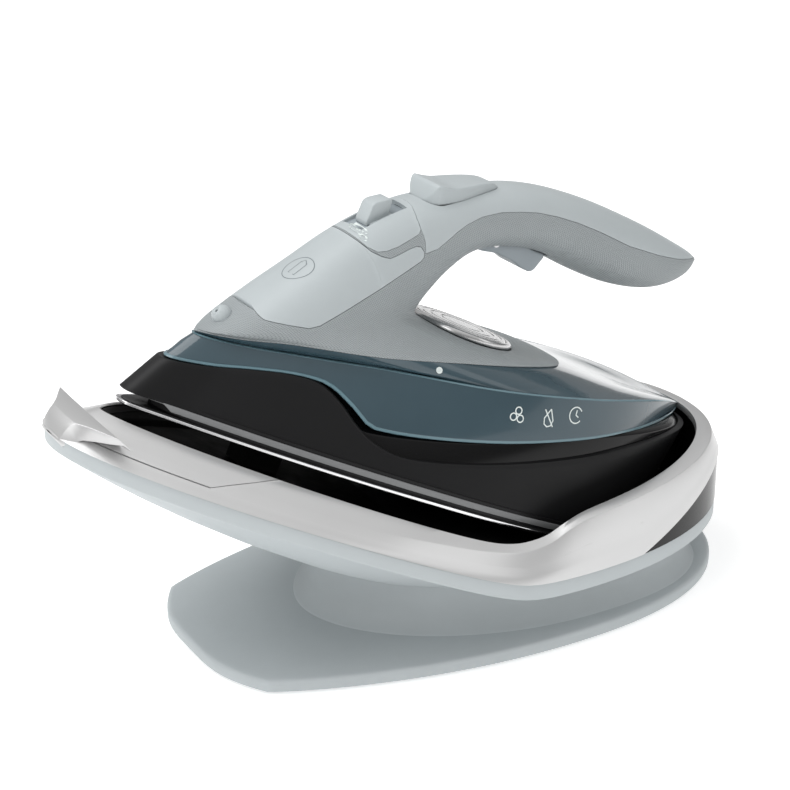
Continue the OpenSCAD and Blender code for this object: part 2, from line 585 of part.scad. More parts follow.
module boost_button() color([0.75, 0.79, 0.8]) docked() {
    intersection() {
        button_prism(0, 5);
        button_axis() across(40) polygon([[-14, -4.4], [-9.4, 4.2], [-3, 2.7], [12, 2.2], [19, 1.4], [23, 0],
            [25, -2.4], [25, -4.4]]);
    }
    button_axis() translate([0, 0, -9]) cylinder(r = 3, h = 7);
}
module button_spring() color([0.7, 0.7, 0.7]) docked() {
    button_axis() translate([0, 0, -11.8]) for (i = [0:3]) translate([0, 0, i * 1.4]) rotate_extrude()
        translate([4.2, 0]) circle(r = 0.4, $fn = 16);
}
module steam_trigger() color([0.68, 0.72, 0.74]) docked() {
    difference() {
        across(19) polygon([[130.8, 101.4], [132, 106], [137.5, 110], [150, 110.8], [158, 108.8],
            [165.6, 108.8], [166.3, 107.8], [163.4, 101.6], [161, 100.2], [155.5, 100.4], [148.5, 102.3],
            [141, 103.2], [134, 102.2]]);
        translate([137.5, 0, 106.6]) rotate([90, 0, 0]) cylinder(r = 1.55, h = 30, center = true);
    }
}
module trigger_pin() color([0.7, 0.7, 0.7]) docked() {
    translate([137.5, 0, 106.6]) rotate([90, 0, 0]) cylinder(r = 1.5, h = 24, center = true);
}
module trigger_spring() color([0.7, 0.7, 0.7]) docked() {
    translate([160, 0, 112.9]) for (i = [0:3]) translate([0, 0, i * 1.5]) rotate_extrude()
        translate([3.4, 0]) circle(r = 0.4, $fn = 16);
}
module pump() color([0.85, 0.85, 0.83]) docked() {
    translate([101, 0, 88]) rotate([0, 50, 0]) {
        cylinder(r = 6, h = 16);
        translate([0, 0, 16]) cylinder(r = 2.5, h = 8);
    }
}
module fill_lid() color([0.74, 0.78, 0.79]) docked() {
    difference() {
        union() {
            intersection() {
                handle_shell();
                across(100) polygon(lid_side(0));
                translate([LID[0], 0, LID[1]]) rotate([90, 0, 0]) cylinder(r = LID_R, h = 100, center = true);
            }
            translate([LID[0], 0, LID[1]]) rotate([90, 0, 0]) cylinder(r = 2.8, h = 6, center = true);
        }
        translate([LID[0], 0, LID[1]]) rotate([90, 0, 0]) cylinder(r = 0.95, h = 20, center = true);
        for (y = [-4.5, 4.5]) across(2.8, y) {
            translate(LID) circle(r = 3.1);
            polygon([[34, 51.4], LID + [-2, 0.2], LID + [2, 0.2], [47, 49], [47, 44], [34, 44]]);
        }
    }
}
module lid_pin() color([0.7, 0.7, 0.7]) docked() {
    translate([LID[0], 0, LID[1]]) rotate([90, 0, 0]) cylinder(r = 0.9, h = 11.4, center = true);
}
// funnel under the lid, into the tank
module filler_neck() color([0.35, 0.42, 0.45]) docked() {
    translate([72, 0, 46]) difference() {
        cylinder(r1 = 10, r2 = 13, h = 26);
        translate([0, 0, -1]) cylinder(r1 = 8.4, r2 = 11.6, h = 28);
    }
}
module spray_nozzle() color([0.76, 0.8, 0.81]) docked() {
    difference() {
        union() {
            translate([31.2, 0, 42.6]) sphere(r = 4.3);
            translate([31.2, 0, 42.6]) rotate([0, 50, 0]) cylinder(r = 2.4, h = 8);
        }
        translate([31.2, 0, 42.6]) rotate([0, -70, 0]) cylinder(r = 0.7, h = 12);
    }
}
module temperature_dial() color([0.72, 0.72, 0.72]) docked() translate([144.8, 0, 0]) {
    difference() {
        union() {
            translate([0, 0, 63.3]) cylinder(d = dial_diameter - 3, h = 2);
            translate([0, 0, 64.6]) cylinder(d = dial_diameter, h = 3.4);
        }
        translate([0, 0, 67]) cylinder(d = dial_diameter - 5, h = 4);
        translate([0, 0, 60]) cylinder(r = 3.02, h = 6);
    }
}
module dial_cap() color([0.8, 0.8, 0.8]) docked() translate([144.8, 0, 67]) {
    difference() {
        cylinder(d = dial_diameter - 5.2, h = 1.4);
        for (r = [8, 13, 17]) translate([0, 0, 1]) difference() {
            cylinder(r = r + 0.5, h = 2);
            translate([0, 0, -1]) cylinder(r = r, h = 4);
        }
    }
}
module dial_shaft() color([0.7, 0.7, 0.7]) docked() translate([144.8, 0, 15]) cylinder(r = 3, h = 51);
module thermostat() color([0.5, 0.5, 0.5]) docked() translate([144.8, 0, 12.6]) {
    difference() {
        cylinder(r = 10, h = 8);
        translate([0, 0, 2]) cylinder(r = 3.05, h = 10);
    }
}
module drip_valve() color([0.8, 0.8, 0.78]) docked() translate([60, 0, 15]) {
    difference() {
        union() {
            cylinder(r = 2.9, h = 26);
            cylinder(r = 4.4, h = 6);
        }
        translate([0, 0, -1]) cylinder(r = 1, h = 40);
    }
}
module housing_screw_places() {
    for (p = [[190, 34], [190, -34], [80, 22], [80, -22]]) translate([p[0], p[1], 15]) children();
}
module housing_screws() color([0.7, 0.7, 0.7]) docked() housing_screw_places() {
    translate([0, 0, -5]) cylinder(r = 1.5, h = 5);
    cylinder(r = 3, h = 1.6);
}

base_plate();
base_feet();
base_screws();
pedestal();
dock_shell();
dock_rim();
rear_panel();
well_tub();
well_pads();
contact_block();
contact_pins();
power_inlet();
supply_board();
latch_plate();
soleplate();
heater_casting();
heating_element();
sole_seal();
lower_housing();
chassis();
heel_contacts();
water_tank();
pickup_tube();
upper_body();
filler_surround();
handle_cover();
control_panel();
steam_slider();
slider_rod();
boost_button();
button_spring();
steam_trigger();
trigger_pin();
trigger_spring();
pump();
fill_lid();
lid_pin();
filler_neck();
spray_nozzle();
temperature_dial();
dial_cap();
dial_shaft();
thermostat();
drip_valve();
housing_screws();
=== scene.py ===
# Cordless steam iron parked on its charging cradle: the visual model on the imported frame.
import math

import bmesh
import bpy
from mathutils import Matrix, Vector


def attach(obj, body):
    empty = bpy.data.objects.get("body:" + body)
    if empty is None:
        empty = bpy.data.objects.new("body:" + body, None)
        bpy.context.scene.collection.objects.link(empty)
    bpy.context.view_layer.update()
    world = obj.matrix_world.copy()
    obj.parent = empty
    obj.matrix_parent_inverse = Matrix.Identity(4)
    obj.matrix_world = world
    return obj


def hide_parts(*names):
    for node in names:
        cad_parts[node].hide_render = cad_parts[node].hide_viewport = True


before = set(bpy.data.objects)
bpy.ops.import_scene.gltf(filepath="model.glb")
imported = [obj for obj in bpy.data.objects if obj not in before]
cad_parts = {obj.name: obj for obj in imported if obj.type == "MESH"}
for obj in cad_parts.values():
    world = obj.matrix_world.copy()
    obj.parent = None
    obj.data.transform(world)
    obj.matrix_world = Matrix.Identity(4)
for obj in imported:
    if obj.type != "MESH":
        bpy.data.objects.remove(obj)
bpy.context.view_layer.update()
scene = bpy.context.scene

# ---------------------------------------------------------------- sizes, in millimetres
SOLE, WIDE, WALL = 250.0, 62.0, 2.4
DIAL_R, DIAL_S = 23.5, 144.8
BASE_L, BASE_W, BASE_TOP = 258.0, 155.0, 6.5
PITCH = math.radians(25)
NOSE = (-154.8, 123.7)
N = 84

HANDLE = [
    ((28.5, 39.6), (118, 54), 24.5), ((33, 45), (113, 58.5), 25.6), ((41.5, 55.8), (112.5, 66), 24.8),
    ((53.5, 70.6), (114.2, 73.6), 23), ((65.4, 85.6), (117, 80.4), 21.5), ((77.3, 98), (121.6, 89), 20),
    ((91.2, 109.4), (128.6, 98.2), 19), ((107, 118), (137, 103.4), 18.5), ((124.5, 126.2), (148, 106.5), 18.5),
    ((142, 132.4), (158, 108), 19), ((160, 135.8), (171, 107.5), 19.5), ((182, 137), (186, 106), 20),
    ((203, 136.3), (203, 105.4), 20), ((220, 135), (219, 107), 19), ((235, 133.2), (231, 110.5), 16.5),
    ((246, 131.6), (242, 117), 11.5), ((252.5, 130), (250.5, 125.5), 4.5)]
LID = (41.2, 51.2)
LID_R = 49.0
V_EDGE = [(70.7, 90.4), (74.4, 88.6), (78.4, 88.2), (82.0, 89.8), (86.4, 93.0), (90.6, 97.0), (94.2, 100.6)]
PANEL = ([(57.5, 97), (64.5, 93.6)] + V_EDGE
         + [(94.6, 102.6), (93.0, 105.8), (92.6, 108.2), (93.2, 112), (90, 127), (60, 127)])
COVER = [(90, 127), (93.2, 112), (92.6, 108.2), (93.0, 105.8), (94.6, 102.6), (97.4, 98.6), (99.4, 94),
         (104.5, 97.2), (108.2, 102.2), (111.4, 106.8), (114.9, 110.7), (120.9, 115.6), (129.5, 120.0),
         (138.2, 122.9), (147, 125.2), (157.6, 126.5), (169, 127.0), (181.5, 126.6), (200, 125.2), (219, 125.8),
         (232, 127), (246, 129.2), (262, 132.2), (262, 150), (88, 150)]


def mix(a, b, u):
    return a + (b - a) * u


def clamp(x, a=0.0, b=1.0):
    return min(max(x, a), b)


def smooth(u):
    u = clamp(u)
    return u * u * (3 - 2 * u)


def curve(k, x):
    i = 0
    while i < len(k) - 2 and x >= k[i + 1][0]:
        i += 1
    a, b = k[i], k[i + 1]
    p = k[i - 1] if i > 0 else a
    q = k[i + 2] if i < len(k) - 2 else b
    h = b[0] - a[0]
    u = clamp((x - a[0]) / h)
    ma = (b[1] - p[1]) / (b[0] - p[0]) * h
    mb = (q[1] - a[1]) / (q[0] - a[0]) * h
    return ((2 * u ** 3 - 3 * u * u + 1) * a[1] + (u ** 3 - 2 * u * u + u) * ma
            + (3 * u * u - 2 * u ** 3) * b[1] + (u ** 3 - u * u) * mb)


# ---------------------------------------------------------------- places
def dock_place(x, y, z):
    return Vector((x, y, z)) * 0.001


def iron_place(s, y, t):
    c, n = math.cos(PITCH), math.sin(PITCH)
    return Vector((NOSE[0] + s * c + t * n, y, NOSE[1] - s * n + t * c)) * 0.001


def tilted(s0, t0, degrees):
    c, n = math.cos(math.radians(degrees)), math.sin(math.radians(degrees))
    return lambda x, y, z: iron_place(s0 + x * c - z * n, y, t0 + x * n + z * c)


panel_place = tilted(77.3, 98, 39.4)
button_place = tilted(110, 121.4, 22.6)

# ---------------------------------------------------------------- surfaces of the iron


def front(u, m):
    return math.sin(math.pi / 2 * min(u / m, 1)) ** (0.8 - 0.25 * math.exp(-u / 0.03))


def blunt(x, p):
    return max(1 - clamp(x) ** p, 0) ** (1 / p)


def body_at(u, t, d=0.0):
    m = 0.72 - 0.0023 * t
    w = (WIDE - 0.2 * t) * (front(u, m) if u < m else blunt((u - m) / (1 - m), 3 - 0.01 * t))
    return (mix(max(0.66 * t - 1.4, 0) + 1.5 * d, SOLE + 0.44 * t - d, u), max(w - d, 0.25), t)


def tank_at(u, t, d=0.0):
    m = 0.72 - 0.0023 * t
    x = clamp((u - m) / (1 - m))
    w = (WIDE - 0.2 * t) * (front(u, m) if u < m else max(1 - x * x, 0) ** 0.86)
    return (mix(max(0.66 * t - 1.4, 0) + 1.5 * d, 280.5 - d, u), max(w - d, 0.25), t)


def t_housing(u):
    return curve([(0, 20), (0.05, 23), (0.1, 27.5), (0.15, 31), (0.195, 31.6), (0.245, 27), (0.29, 21.2),
                  (0.34, 16.4), (0.4, 14.8), (0.5, 20), (0.6, 27.5), (0.7, 36), (0.8, 45.6), (0.9, 53.8),
                  (0.97, 58), (1, 59.4)], u)


def t_tank(u):
    return max(t_housing(u) + 0.3, curve([(0, 20.3), (0.28, 21), (0.35, 23), (0.49, 31.5), (0.65, 43.5),
                                          (0.745, 50), (0.87, 56.6), (0.95, 59.4), (1, 60.6)], u))


def t_crease(u):
    return curve([(0, 33), (0.054, 35), (0.16, 41), (0.254, 46), (0.43, 52.5), (0.61, 60), (0.77, 65),
                  (0.89, 66), (1, 63.4)], u)


def t_skirt(u):
    return curve([(0, 33.6), (0.08, 37.4), (0.185, 43), (0.37, 49.5), (0.55, 56.2), (0.705, 60.8),
                  (0.84, 64.2), (0.94, 65.8), (1, 66.2)], u)


def skirt_at(u, d=0.0, up=0.0):
    m = 0.56
    w = 39 * (math.sin(math.pi / 2 * u / m) ** 0.72 if u < m else blunt((u - m) / (1 - m), 2.3))
    return (mix(21.5 + d, 195 - d, u), max(w - d, 0.2), t_skirt(u) + up)


def section(i):
    """Section of the column and handle at a whole or broken index, on a smooth curve through the sections."""
    i = clamp(i, 0, len(HANDLE) - 1)

    def value(f):
        return curve([(k, f(h)) for k, h in enumerate(HANDLE)], i)
    return ((value(lambda h: h[0][0]), value(lambda h: h[0][1])),
            (value(lambda h: h[1][0]), value(lambda h: h[1][1])), value(lambda h: h[2]))


def on_handle(i, a, d=0.0, cache={}):
    key = round(i, 5)
    if key not in cache:
        cache[key] = section(i)
    f, r, hw = cache[key]
    length = math.hypot(f[0] - r[0], f[1] - r[1])
    size, e = length / 2 - d, ((f[0] - r[0]) / length, (f[1] - r[1]) / length)
    c, v = math.cos(a), math.sin(a)
    k = size * math.copysign(abs(c) ** 0.9, c)
    b = (hw - d) * math.copysign(abs(v) ** 0.82, v)
    return Vector(((f[0] + r[0]) / 2 + e[0] * k, 0 if abs(v) < 1e-6 else b, (f[1] + r[1]) / 2 + e[1] * k))


# ---------------------------------------------------------------- surfaces of the cradle
def dock_w(x):
    u, m = clamp((x + 185) / 316), 0.6
    return 79.5 * (math.sin(math.pi / 2 * u / m) ** 0.467 if u < m else blunt((u - m) / (1 - m), 2.35))


def ramp(x, t):
    return NOSE[1] - (x - NOSE[0]) * math.tan(PITCH) + t / math.cos(PITCH)


def soft(a, b, k):
    return (a + b + math.sqrt((a - b) ** 2 + k * k)) / 2


def z_lip(x):
    if x < -8:
        return soft(ramp(x, -7), 50.5, 5)
    return curve([(-16, 53.4), (-8, 51.9), (0, 52.1), (6, 53.2), (13, 56.2), (22, 59), (32, 60.2), (60, 61.9),
                  (110, 65)], x)


def z_mid(x):
    return soft(ramp(x, -20.5), 33.5, 6)


def z_band(x):
    return soft(ramp(x, -27), 26, 6)


def z_ped(x):
    return soft(ramp(x, -38), 25.6, 4)


def z_low(x):
    return z_mid(x) + 22 * clamp((x - 52) / 60)


def xo(u, d=0.0):
    return mix(-185 + d, 131 - d, u)


def dock_at(u, z, d=0.0, dz=0.0):
    x = xo(u, d)
    return (x, max(dock_w(mix(-185, 131, u)) - d, 0.3), z(x) + dz)


def mouth_at(u, dz=0.0, d=0.0):
    x, m = mix(-162.5 + d, 122.5 - d, u), 0.6
    w = 70.5 * (math.sin(math.pi / 2 * u / m) ** 0.66 if u < m else blunt((u - m) / (1 - m), 2.15))
    return (x, max(w - d, 0.3), z_lip(x) + dz)


def rim_crease(u, k):
    o, x, m = dock_at(u, z_low), xo(u), mouth_at(u)
    g = clamp((x + 40) / 80)
    i, drop, f = mix(7, 3.2, g), mix(3.6, 0.8, g), clamp((-20 - x) / 60)
    top = (mix(x - i * (u - 0.5) * 1.6, mix(o[0], m[0], 0.5), f),
           max(mix(o[1] - i, mix(o[1], m[1], 0.5), f), 0.3),
           mix(z_lip(x) - drop, mix(o[2], m[2], 0.55), f))
    return tuple(mix(top[j], o[j], k) for j in range(3))


def base_w(x):
    u = clamp((x + BASE_L / 2) / BASE_L)
    return BASE_W / 2 * (mix(0.5, 1, math.sin(math.pi / 2 * u / 0.55) ** 0.72) * min(u / 0.05, 1) ** 0.25
                         if u < 0.55 else blunt((u - 0.55) / 0.45, 2.35))


def base_at(u, z, d=0.0):
    x = mix(-0.5, 0.5, u) * (BASE_L - 2 * d)
    return (x, max(base_w(x * BASE_L / (BASE_L - 2 * d)) - d, 0.01), z)


def ped_at(u, z, g=0.0):
    m = 0.55
    f = blunt(1 - u / m, 1.9) if u < m else blunt((u - m) / (1 - m), 2.8)
    return (mix(-68 - g, 109 + g, u), (61.5 + g) * max(f, 0.004), z)


def belly(u, k, d=0.0):
    q, g = dock_at(u, z_band, 1.2 + d), ped_at(u, 0, -3.4 - d)
    return (mix(q[0], g[0], k), mix(q[1], g[1], k), mix(q[2], z_ped(g[0]), 1 - (1 - k) ** 1.5) + d)


def floor_at(u, d=0.0):
    v = 1 - (1 - u) ** 1.35
    t = mix(-15, -3, clamp((v - 0.3) / 0.46)) - 0.8 * d
    q = body_at(v, 0, -1.2 - 0.8 * d)
    p = iron_place(q[0], q[1], t) * 1000
    return (p.x, p.y, p.z)


def tub_at(u, k, d, top=-5.4):
    m, f = mouth_at(u, top, -0.8 * d), floor_at(u, d)
    w = mix(0.84, 0.5, clamp((u - 0.78) / 0.2))
    v = k * 0.2 if k < 0.35 else min(mix(0.07, w, (k - 0.35) / 0.3), mix(w, 1, (k - 0.65) / 0.35))
    return (mix(m[0], f[0], v), mix(m[1], f[1], v), mix(m[2], f[2], k))


# ---------------------------------------------------------------- mesh helpers
def station(i, n):
    return (1 - math.cos(math.pi * i / n)) / 2


def loop(p, n=N):
    up = [p(station(i, n)) for i in range(n + 1)]
    up = [(q[0], 0 if i in (0, n) else q[1], q[2]) for i, q in enumerate(up)]
    return up + [(q[0], -q[1], q[2]) for q in up[n - 1:0:-1]]


def soften(rows, k, r):
    """Rounds the edge that row k makes between its neighbours."""
    a, b = rows[k - 1], rows[(k + 1) % len(rows)]
    one, two, three = [], [], []
    for p, q, s in zip(rows[k], a, b):
        p, q, s = Vector(p), Vector(q), Vector(s)
        u, v = q - p, s - p
        p1 = p + u.normalized() * min(r, u.length * 0.45)
        p3 = p + v.normalized() * min(r, v.length * 0.45)
        one.append(tuple(p1))
        two.append(tuple(p * 0.5 + (p1 + p3) * 0.25))
        three.append(tuple(p3))
    return rows[:k] + [one, two, three] + rows[k + 1:]


def soften_all(rows, edges):
    """edges: {row index: radius}; done from the last to the first, so that the indices hold."""
    for k in sorted(edges, reverse=True):
        rows = soften(rows, k, edges[k])
    return rows


def finish_mesh(name, bm, mat, body, angle=40, merge=2e-6):
    if merge:
        bmesh.ops.remove_doubles(bm, verts=bm.verts, dist=merge)
    bmesh.ops.recalc_face_normals(bm, faces=bm.faces)
    me = bpy.data.meshes.new(name)
    bm.to_mesh(me)
    bm.free()
    return finish_object(name, me, mat, body, angle)


def finish_object(name, me, mat, body, angle=40):
    me.name = name
    ob = bpy.data.objects.new(name, me)
    scene.collection.objects.link(ob)
    for p in me.polygons:
        p.use_smooth = True
    me.set_sharp_from_angle(angle=math.radians(angle))
    me.materials.clear()
    if mat:
        me.materials.append(mat)
    if body:
        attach(ob, body)
    return ob


def ladder(bm, row):
    c = len(row)
    for i in range(c // 2):
        quad = [row[i], row[i + 1], row[(c - i - 1) % c], row[(c - i) % c]]
        face = list(dict.fromkeys(quad))
        if len(face) > 2:
            try:
                bm.faces.new(face)
            except ValueError:
                pass


def loft(name, rows, place, mat, body, ring=False, closed=True, angle=40):
    """Skin through the rows. ring joins the last row to the first; closed joins each row's ends."""
    bm = bmesh.new()
    layer = bm.loops.layers.uv.new("UVMap")
    grid = [[bm.verts.new(place(*p)) for p in r] for r in rows]
    m, c = len(rows), len(rows[0])
    along, around = [0.0], [0.0]
    for j in range(1, m + 1):
        along.append(along[-1] + (grid[j % m][c // 4].co - grid[j - 1][c // 4].co).length * 1000)
    for i in range(1, c + 1):
        around.append(around[-1] + (grid[m // 2][i % c].co - grid[m // 2][i - 1].co).length * 1000)
    uv = [[(around[i], along[j]) for i in range(c + 1)] for j in range(m + 1)]
    for j in range(m if ring else m - 1):
        for i in range(c if closed else c - 1):
            a, b = (j + 1) % m, (i + 1) % c
            try:
                f = bm.faces.new([grid[j][i], grid[j][b], grid[a][b], grid[a][i]])
            except ValueError:
                continue
            for corner, (jj, ii) in zip(f.loops, ((j, i), (j, i + 1), (j + 1, i + 1), (j + 1, i))):
                corner[layer].uv = uv[jj][ii]
    if not ring:
        for row in (grid[0], grid[-1]):
            if closed:
                ladder(bm, row)
    if not closed and ring:
        for i in (0, c - 1):
            bm.faces.new([grid[j][i] for j in range(m)])
    return finish_mesh(name, bm, mat, body, angle)


def slab(bm, one, two):
    """Closed body between two matching outlines."""
    a, b = [bm.verts.new(q) for q in one], [bm.verts.new(q) for q in two]
    bm.faces.new(a)
    bm.faces.new(b[::-1])
    for i in range(len(a)):
        j = (i + 1) % len(a)
        bm.faces.new([a[i], b[i], b[j], a[j]])
    bmesh.ops.recalc_face_normals(bm, faces=bm.faces)


def walls(bm, grid):
    """Faces between closed rings of vertices, one ring to the next."""
    for a, b in zip(grid, grid[1:]):
        for i in range(len(a)):
            j = (i + 1) % len(a)
            bm.faces.new([a[i], a[j], b[j], b[i]])


def cutter(bm):
    me = bpy.data.meshes.new("cutter")
    bm.to_mesh(me)
    bm.free()
    return me


def extrude(name, outline, half, place, mat, body, bevel=0.6, segments=3, angle=40):
    """A side-view outline given a width, with rounded edges."""
    bm = bmesh.new()
    slab(bm, [place(x, half, z) for x, z in outline], [place(x, -half, z) for x, z in outline])
    if bevel:
        edges = [e for e in bm.edges if len(e.link_faces) == 2 and e.calc_face_angle() > 0.45]
        bmesh.ops.bevel(bm, geom=edges, offset=bevel * 0.001, offset_type="OFFSET", segments=segments,
                        profile=0.5, affect="EDGES", clamp_overlap=True)
    return finish_mesh(name, bm, mat, body, angle)


def rounded(points, r, n=5):
    """Outline with its corners rounded to r."""
    out, m = [], len(points)
    for i, p in enumerate(points):
        a, b, c = Vector(points[i - 1]), Vector(p), Vector(points[(i + 1) % m])
        u, v = a - b, c - b
        k = min(r, u.length * 0.45, v.length * 0.45)
        p1, p3 = b + u.normalized() * k, b + v.normalized() * k
        for j in range(n + 1):
            w = j / n
            out.append(tuple(p1 * (1 - w) ** 2 + b * 2 * w * (1 - w) + p3 * w * w))
    return out


def lathe(name, profile, place, mat, body, n=96, angle=35):
    rows = [[(r * math.cos(2 * math.pi * i / n), r * math.sin(2 * math.pi * i / n), z) for i in range(n)]
            for r, z in profile]
    bm = bmesh.new()
    layer = bm.loops.layers.uv.new("UVMap")
    grid = [[bm.verts.new(place(*p)) for p in r] for r in rows]
    for j in range(len(rows) - 1):
        for i in range(n):
            b = (i + 1) % n
            f = bm.faces.new([grid[j][i], grid[j][b], grid[j + 1][b], grid[j + 1][i]])
            for corner, (jj, ii) in zip(f.loops, ((j, i), (j, i + 1), (j + 1, i + 1), (j + 1, i))):
                corner[layer].uv = (ii / n, profile[jj][0])
    for row in (grid[0], grid[-1]):
        bm.faces.new(row)
    return finish_mesh(name, bm, mat, body, angle)


def prism(outline, half=60.0, place=iron_place):
    """Cutter: a side-view outline carried across the object."""
    bm = bmesh.new()
    slab(bm, [place(x, half, z) for x, z in outline], [place(x, -half, z) for x, z in outline])
    return cutter(bm)


def turned(profile, place, n=72):
    """Cutter: a closed round body from (radius, height) pairs."""
    bm = bmesh.new()
    grid = [[bm.verts.new(place(r * math.cos(2 * math.pi * i / n), r * math.sin(2 * math.pi * i / n), z))
             for i in range(n)] for r, z in profile]
    walls(bm, grid)
    bm.faces.new(grid[0])
    bm.faces.new(grid[-1])
    bmesh.ops.recalc_face_normals(bm, faces=bm.faces)
    return cutter(bm)


def cut(me, *steps):
    """Mesh after boolean steps: (operation, mesh), exact solver."""
    ob = bpy.data.objects.new("work", me)
    scene.collection.objects.link(ob)
    tools = []
    for operation, tool in steps:
        t = bpy.data.objects.new("tool", tool)
        scene.collection.objects.link(t)
        tools.append(t)
        mod = ob.modifiers.new("cut", "BOOLEAN")
        mod.operation, mod.object, mod.solver = operation, t, "EXACT"
    bpy.context.view_layer.update()
    out = bpy.data.meshes.new_from_object(ob.evaluated_get(bpy.context.evaluated_depsgraph_get()))
    for t in tools + [ob]:
        bpy.data.objects.remove(t)
    return out


# ---------------------------------------------------------------- materials
def new_material(name):
    mat = bpy.data.materials.new(name)
    mat.use_nodes = True
    nodes, links = mat.node_tree.nodes, mat.node_tree.links
    return mat, nodes, links, nodes["Principled BSDF"]


def srgb(r, g, b):
    return tuple(((c / 255) / 12.92 if c / 255 <= 0.04045 else ((c / 255 + 0.055) / 1.055) ** 2.4)
                 for c in (r, g, b))


def finish(name, colour, rough=0.45, metal=0.0, coat=0.0, vary=0.06, grain=2600.0, bump=0.12, depth=0.00003,
           streak=None, edge_highlight=0.25, knurl=False, coat_rough=0.1, spec=0.5, smudge=0.12, patch=38.0):
    """Moulded or metal finish: slow colour drift, fine grain in roughness and relief, convex edges painted lighter
    as a painted edge highlight.
    """
    mat, nodes, links, bsdf = new_material(name)
    coord = nodes.new("ShaderNodeTexCoord")
    base = srgb(*colour)

    def noise(scale, detail=3.0, rough_=0.55, src=None, dist=0.0):
        nd = nodes.new("ShaderNodeTexNoise")
        nd.inputs["Scale"].default_value = scale
        nd.inputs["Detail"].default_value = detail
        nd.inputs["Roughness"].default_value = rough_
        nd.inputs["Distortion"].default_value = dist
        links.new(src if src else coord.outputs["Object"], nd.inputs["Vector"])
        return nd.outputs["Fac"]

    def ramp_map(src, a, b, lo, hi):
        nd = nodes.new("ShaderNodeMapRange")
        nd.inputs["From Min"].default_value = a
        nd.inputs["From Max"].default_value = b
        nd.inputs["To Min"].default_value = lo
        nd.inputs["To Max"].default_value = hi
        links.new(src, nd.inputs["Value"])
        return nd.outputs["Result"]

    def blend(fac, one, two, mode="MIX"):
        nd = nodes.new("ShaderNodeMix")
        nd.data_type = "RGBA"
        nd.blend_type = mode
        if isinstance(fac, float):
            nd.inputs["Factor"].default_value = fac
        else:
            links.new(fac, nd.inputs["Factor"])
        for slot, value in (("A", one), ("B", two)):
            sock = [s for s in nd.inputs if s.name == slot and s.type == "RGBA"][0]
            if isinstance(value, tuple):
                sock.default_value = value + (1.0,)
            else:
                links.new(value, sock)
        return [s for s in nd.outputs if s.type == "RGBA"][0]

    drift = noise(patch, 4.0, 0.6)
    dark = tuple(c * (1 - vary) for c in base)
    light = tuple(min(c * (1 + vary), 1.0) for c in base)
    colour_out = blend(ramp_map(drift, 0.3, 0.7, 0.0, 1.0), dark, light)
    geo = nodes.new("ShaderNodeNewGeometry")
    # convex edges painted lighter by pointiness: painted edge highlight
    edge = ramp_map(geo.outputs["Pointiness"], 0.51, 0.58, 0.0, edge_highlight)
    colour_out = blend(edge, colour_out, tuple(min(c * 1.35 + 0.02, 1.0) for c in base))
    links.new(colour_out, bsdf.inputs["Base Color"])

    fine_src = None
    if streak:
        mp = nodes.new("ShaderNodeMapping")
        mp.inputs["Scale"].default_value = streak
        links.new(coord.outputs["Object"], mp.inputs["Vector"])
        fine_src = mp.outputs["Vector"]
    fine = noise(grain, 2.0, 0.5, fine_src)
    slow = noise(patch * 2.2, 3.0, 0.6)
    mixer = nodes.new("ShaderNodeMath")
    mixer.operation = "ADD"
    links.new(ramp_map(fine, 0.3, 0.7, -smudge * rough * 0.5, smudge * rough * 0.5), mixer.inputs[0])
    links.new(ramp_map(slow, 0.3, 0.7, rough * (1 - smudge), rough * (1 + smudge)), mixer.inputs[1])
    links.new(mixer.outputs[0], bsdf.inputs["Roughness"])

    relief = nodes.new("ShaderNodeBump")
    relief.inputs["Strength"].default_value = bump
    relief.inputs["Distance"].default_value = depth
    height = fine
    if knurl:
        c, n, k = math.cos(PITCH), math.sin(PITCH), 2000 * math.pi / (knurl * math.sqrt(2))
        waves = []
        for axis in ((c + n, 1, c - n), (c - n, -1, -c - n)):
            dot = nodes.new("ShaderNodeVectorMath")
            dot.operation = "DOT_PRODUCT"
            links.new(coord.outputs["Object"], dot.inputs[0])
            dot.inputs[1].default_value = [v * k for v in axis]
            sn = nodes.new("ShaderNodeMath")
            sn.operation = "SINE"
            links.new(dot.outputs["Value"], sn.inputs[0])
            waves.append(sn.outputs[0])
        both = nodes.new("ShaderNodeMath")
        both.operation = "ADD"
        links.new(waves[0], both.inputs[0])
        links.new(waves[1], both.inputs[1])
        height = ramp_map(both.outputs[0], -2.0, 2.0, 0.0, 1.0)
        relief.inputs["Strength"].default_value = 0.9
        relief.inputs["Distance"].default_value = 0.00014
        # the knurl's valleys painted darker: painted shade in the grooves
        shade = ramp_map(both.outputs[0], -1.8, 0.6, 0.0, 1.0)
        links.new(blend(shade, tuple(c_ * 0.66 for c_ in base), colour_out), bsdf.inputs["Base Color"])
    links.new(height, relief.inputs["Height"])
    links.new(relief.outputs["Normal"], bsdf.inputs["Normal"])
    bsdf.inputs["Metallic"].default_value = metal
    bsdf.inputs["IOR"].default_value = 1.46
    bsdf.inputs["Specular IOR Level"].default_value = spec
    bsdf.inputs["Coat Weight"].default_value = coat
    bsdf.inputs["Coat Roughness"].default_value = coat_rough
    return mat


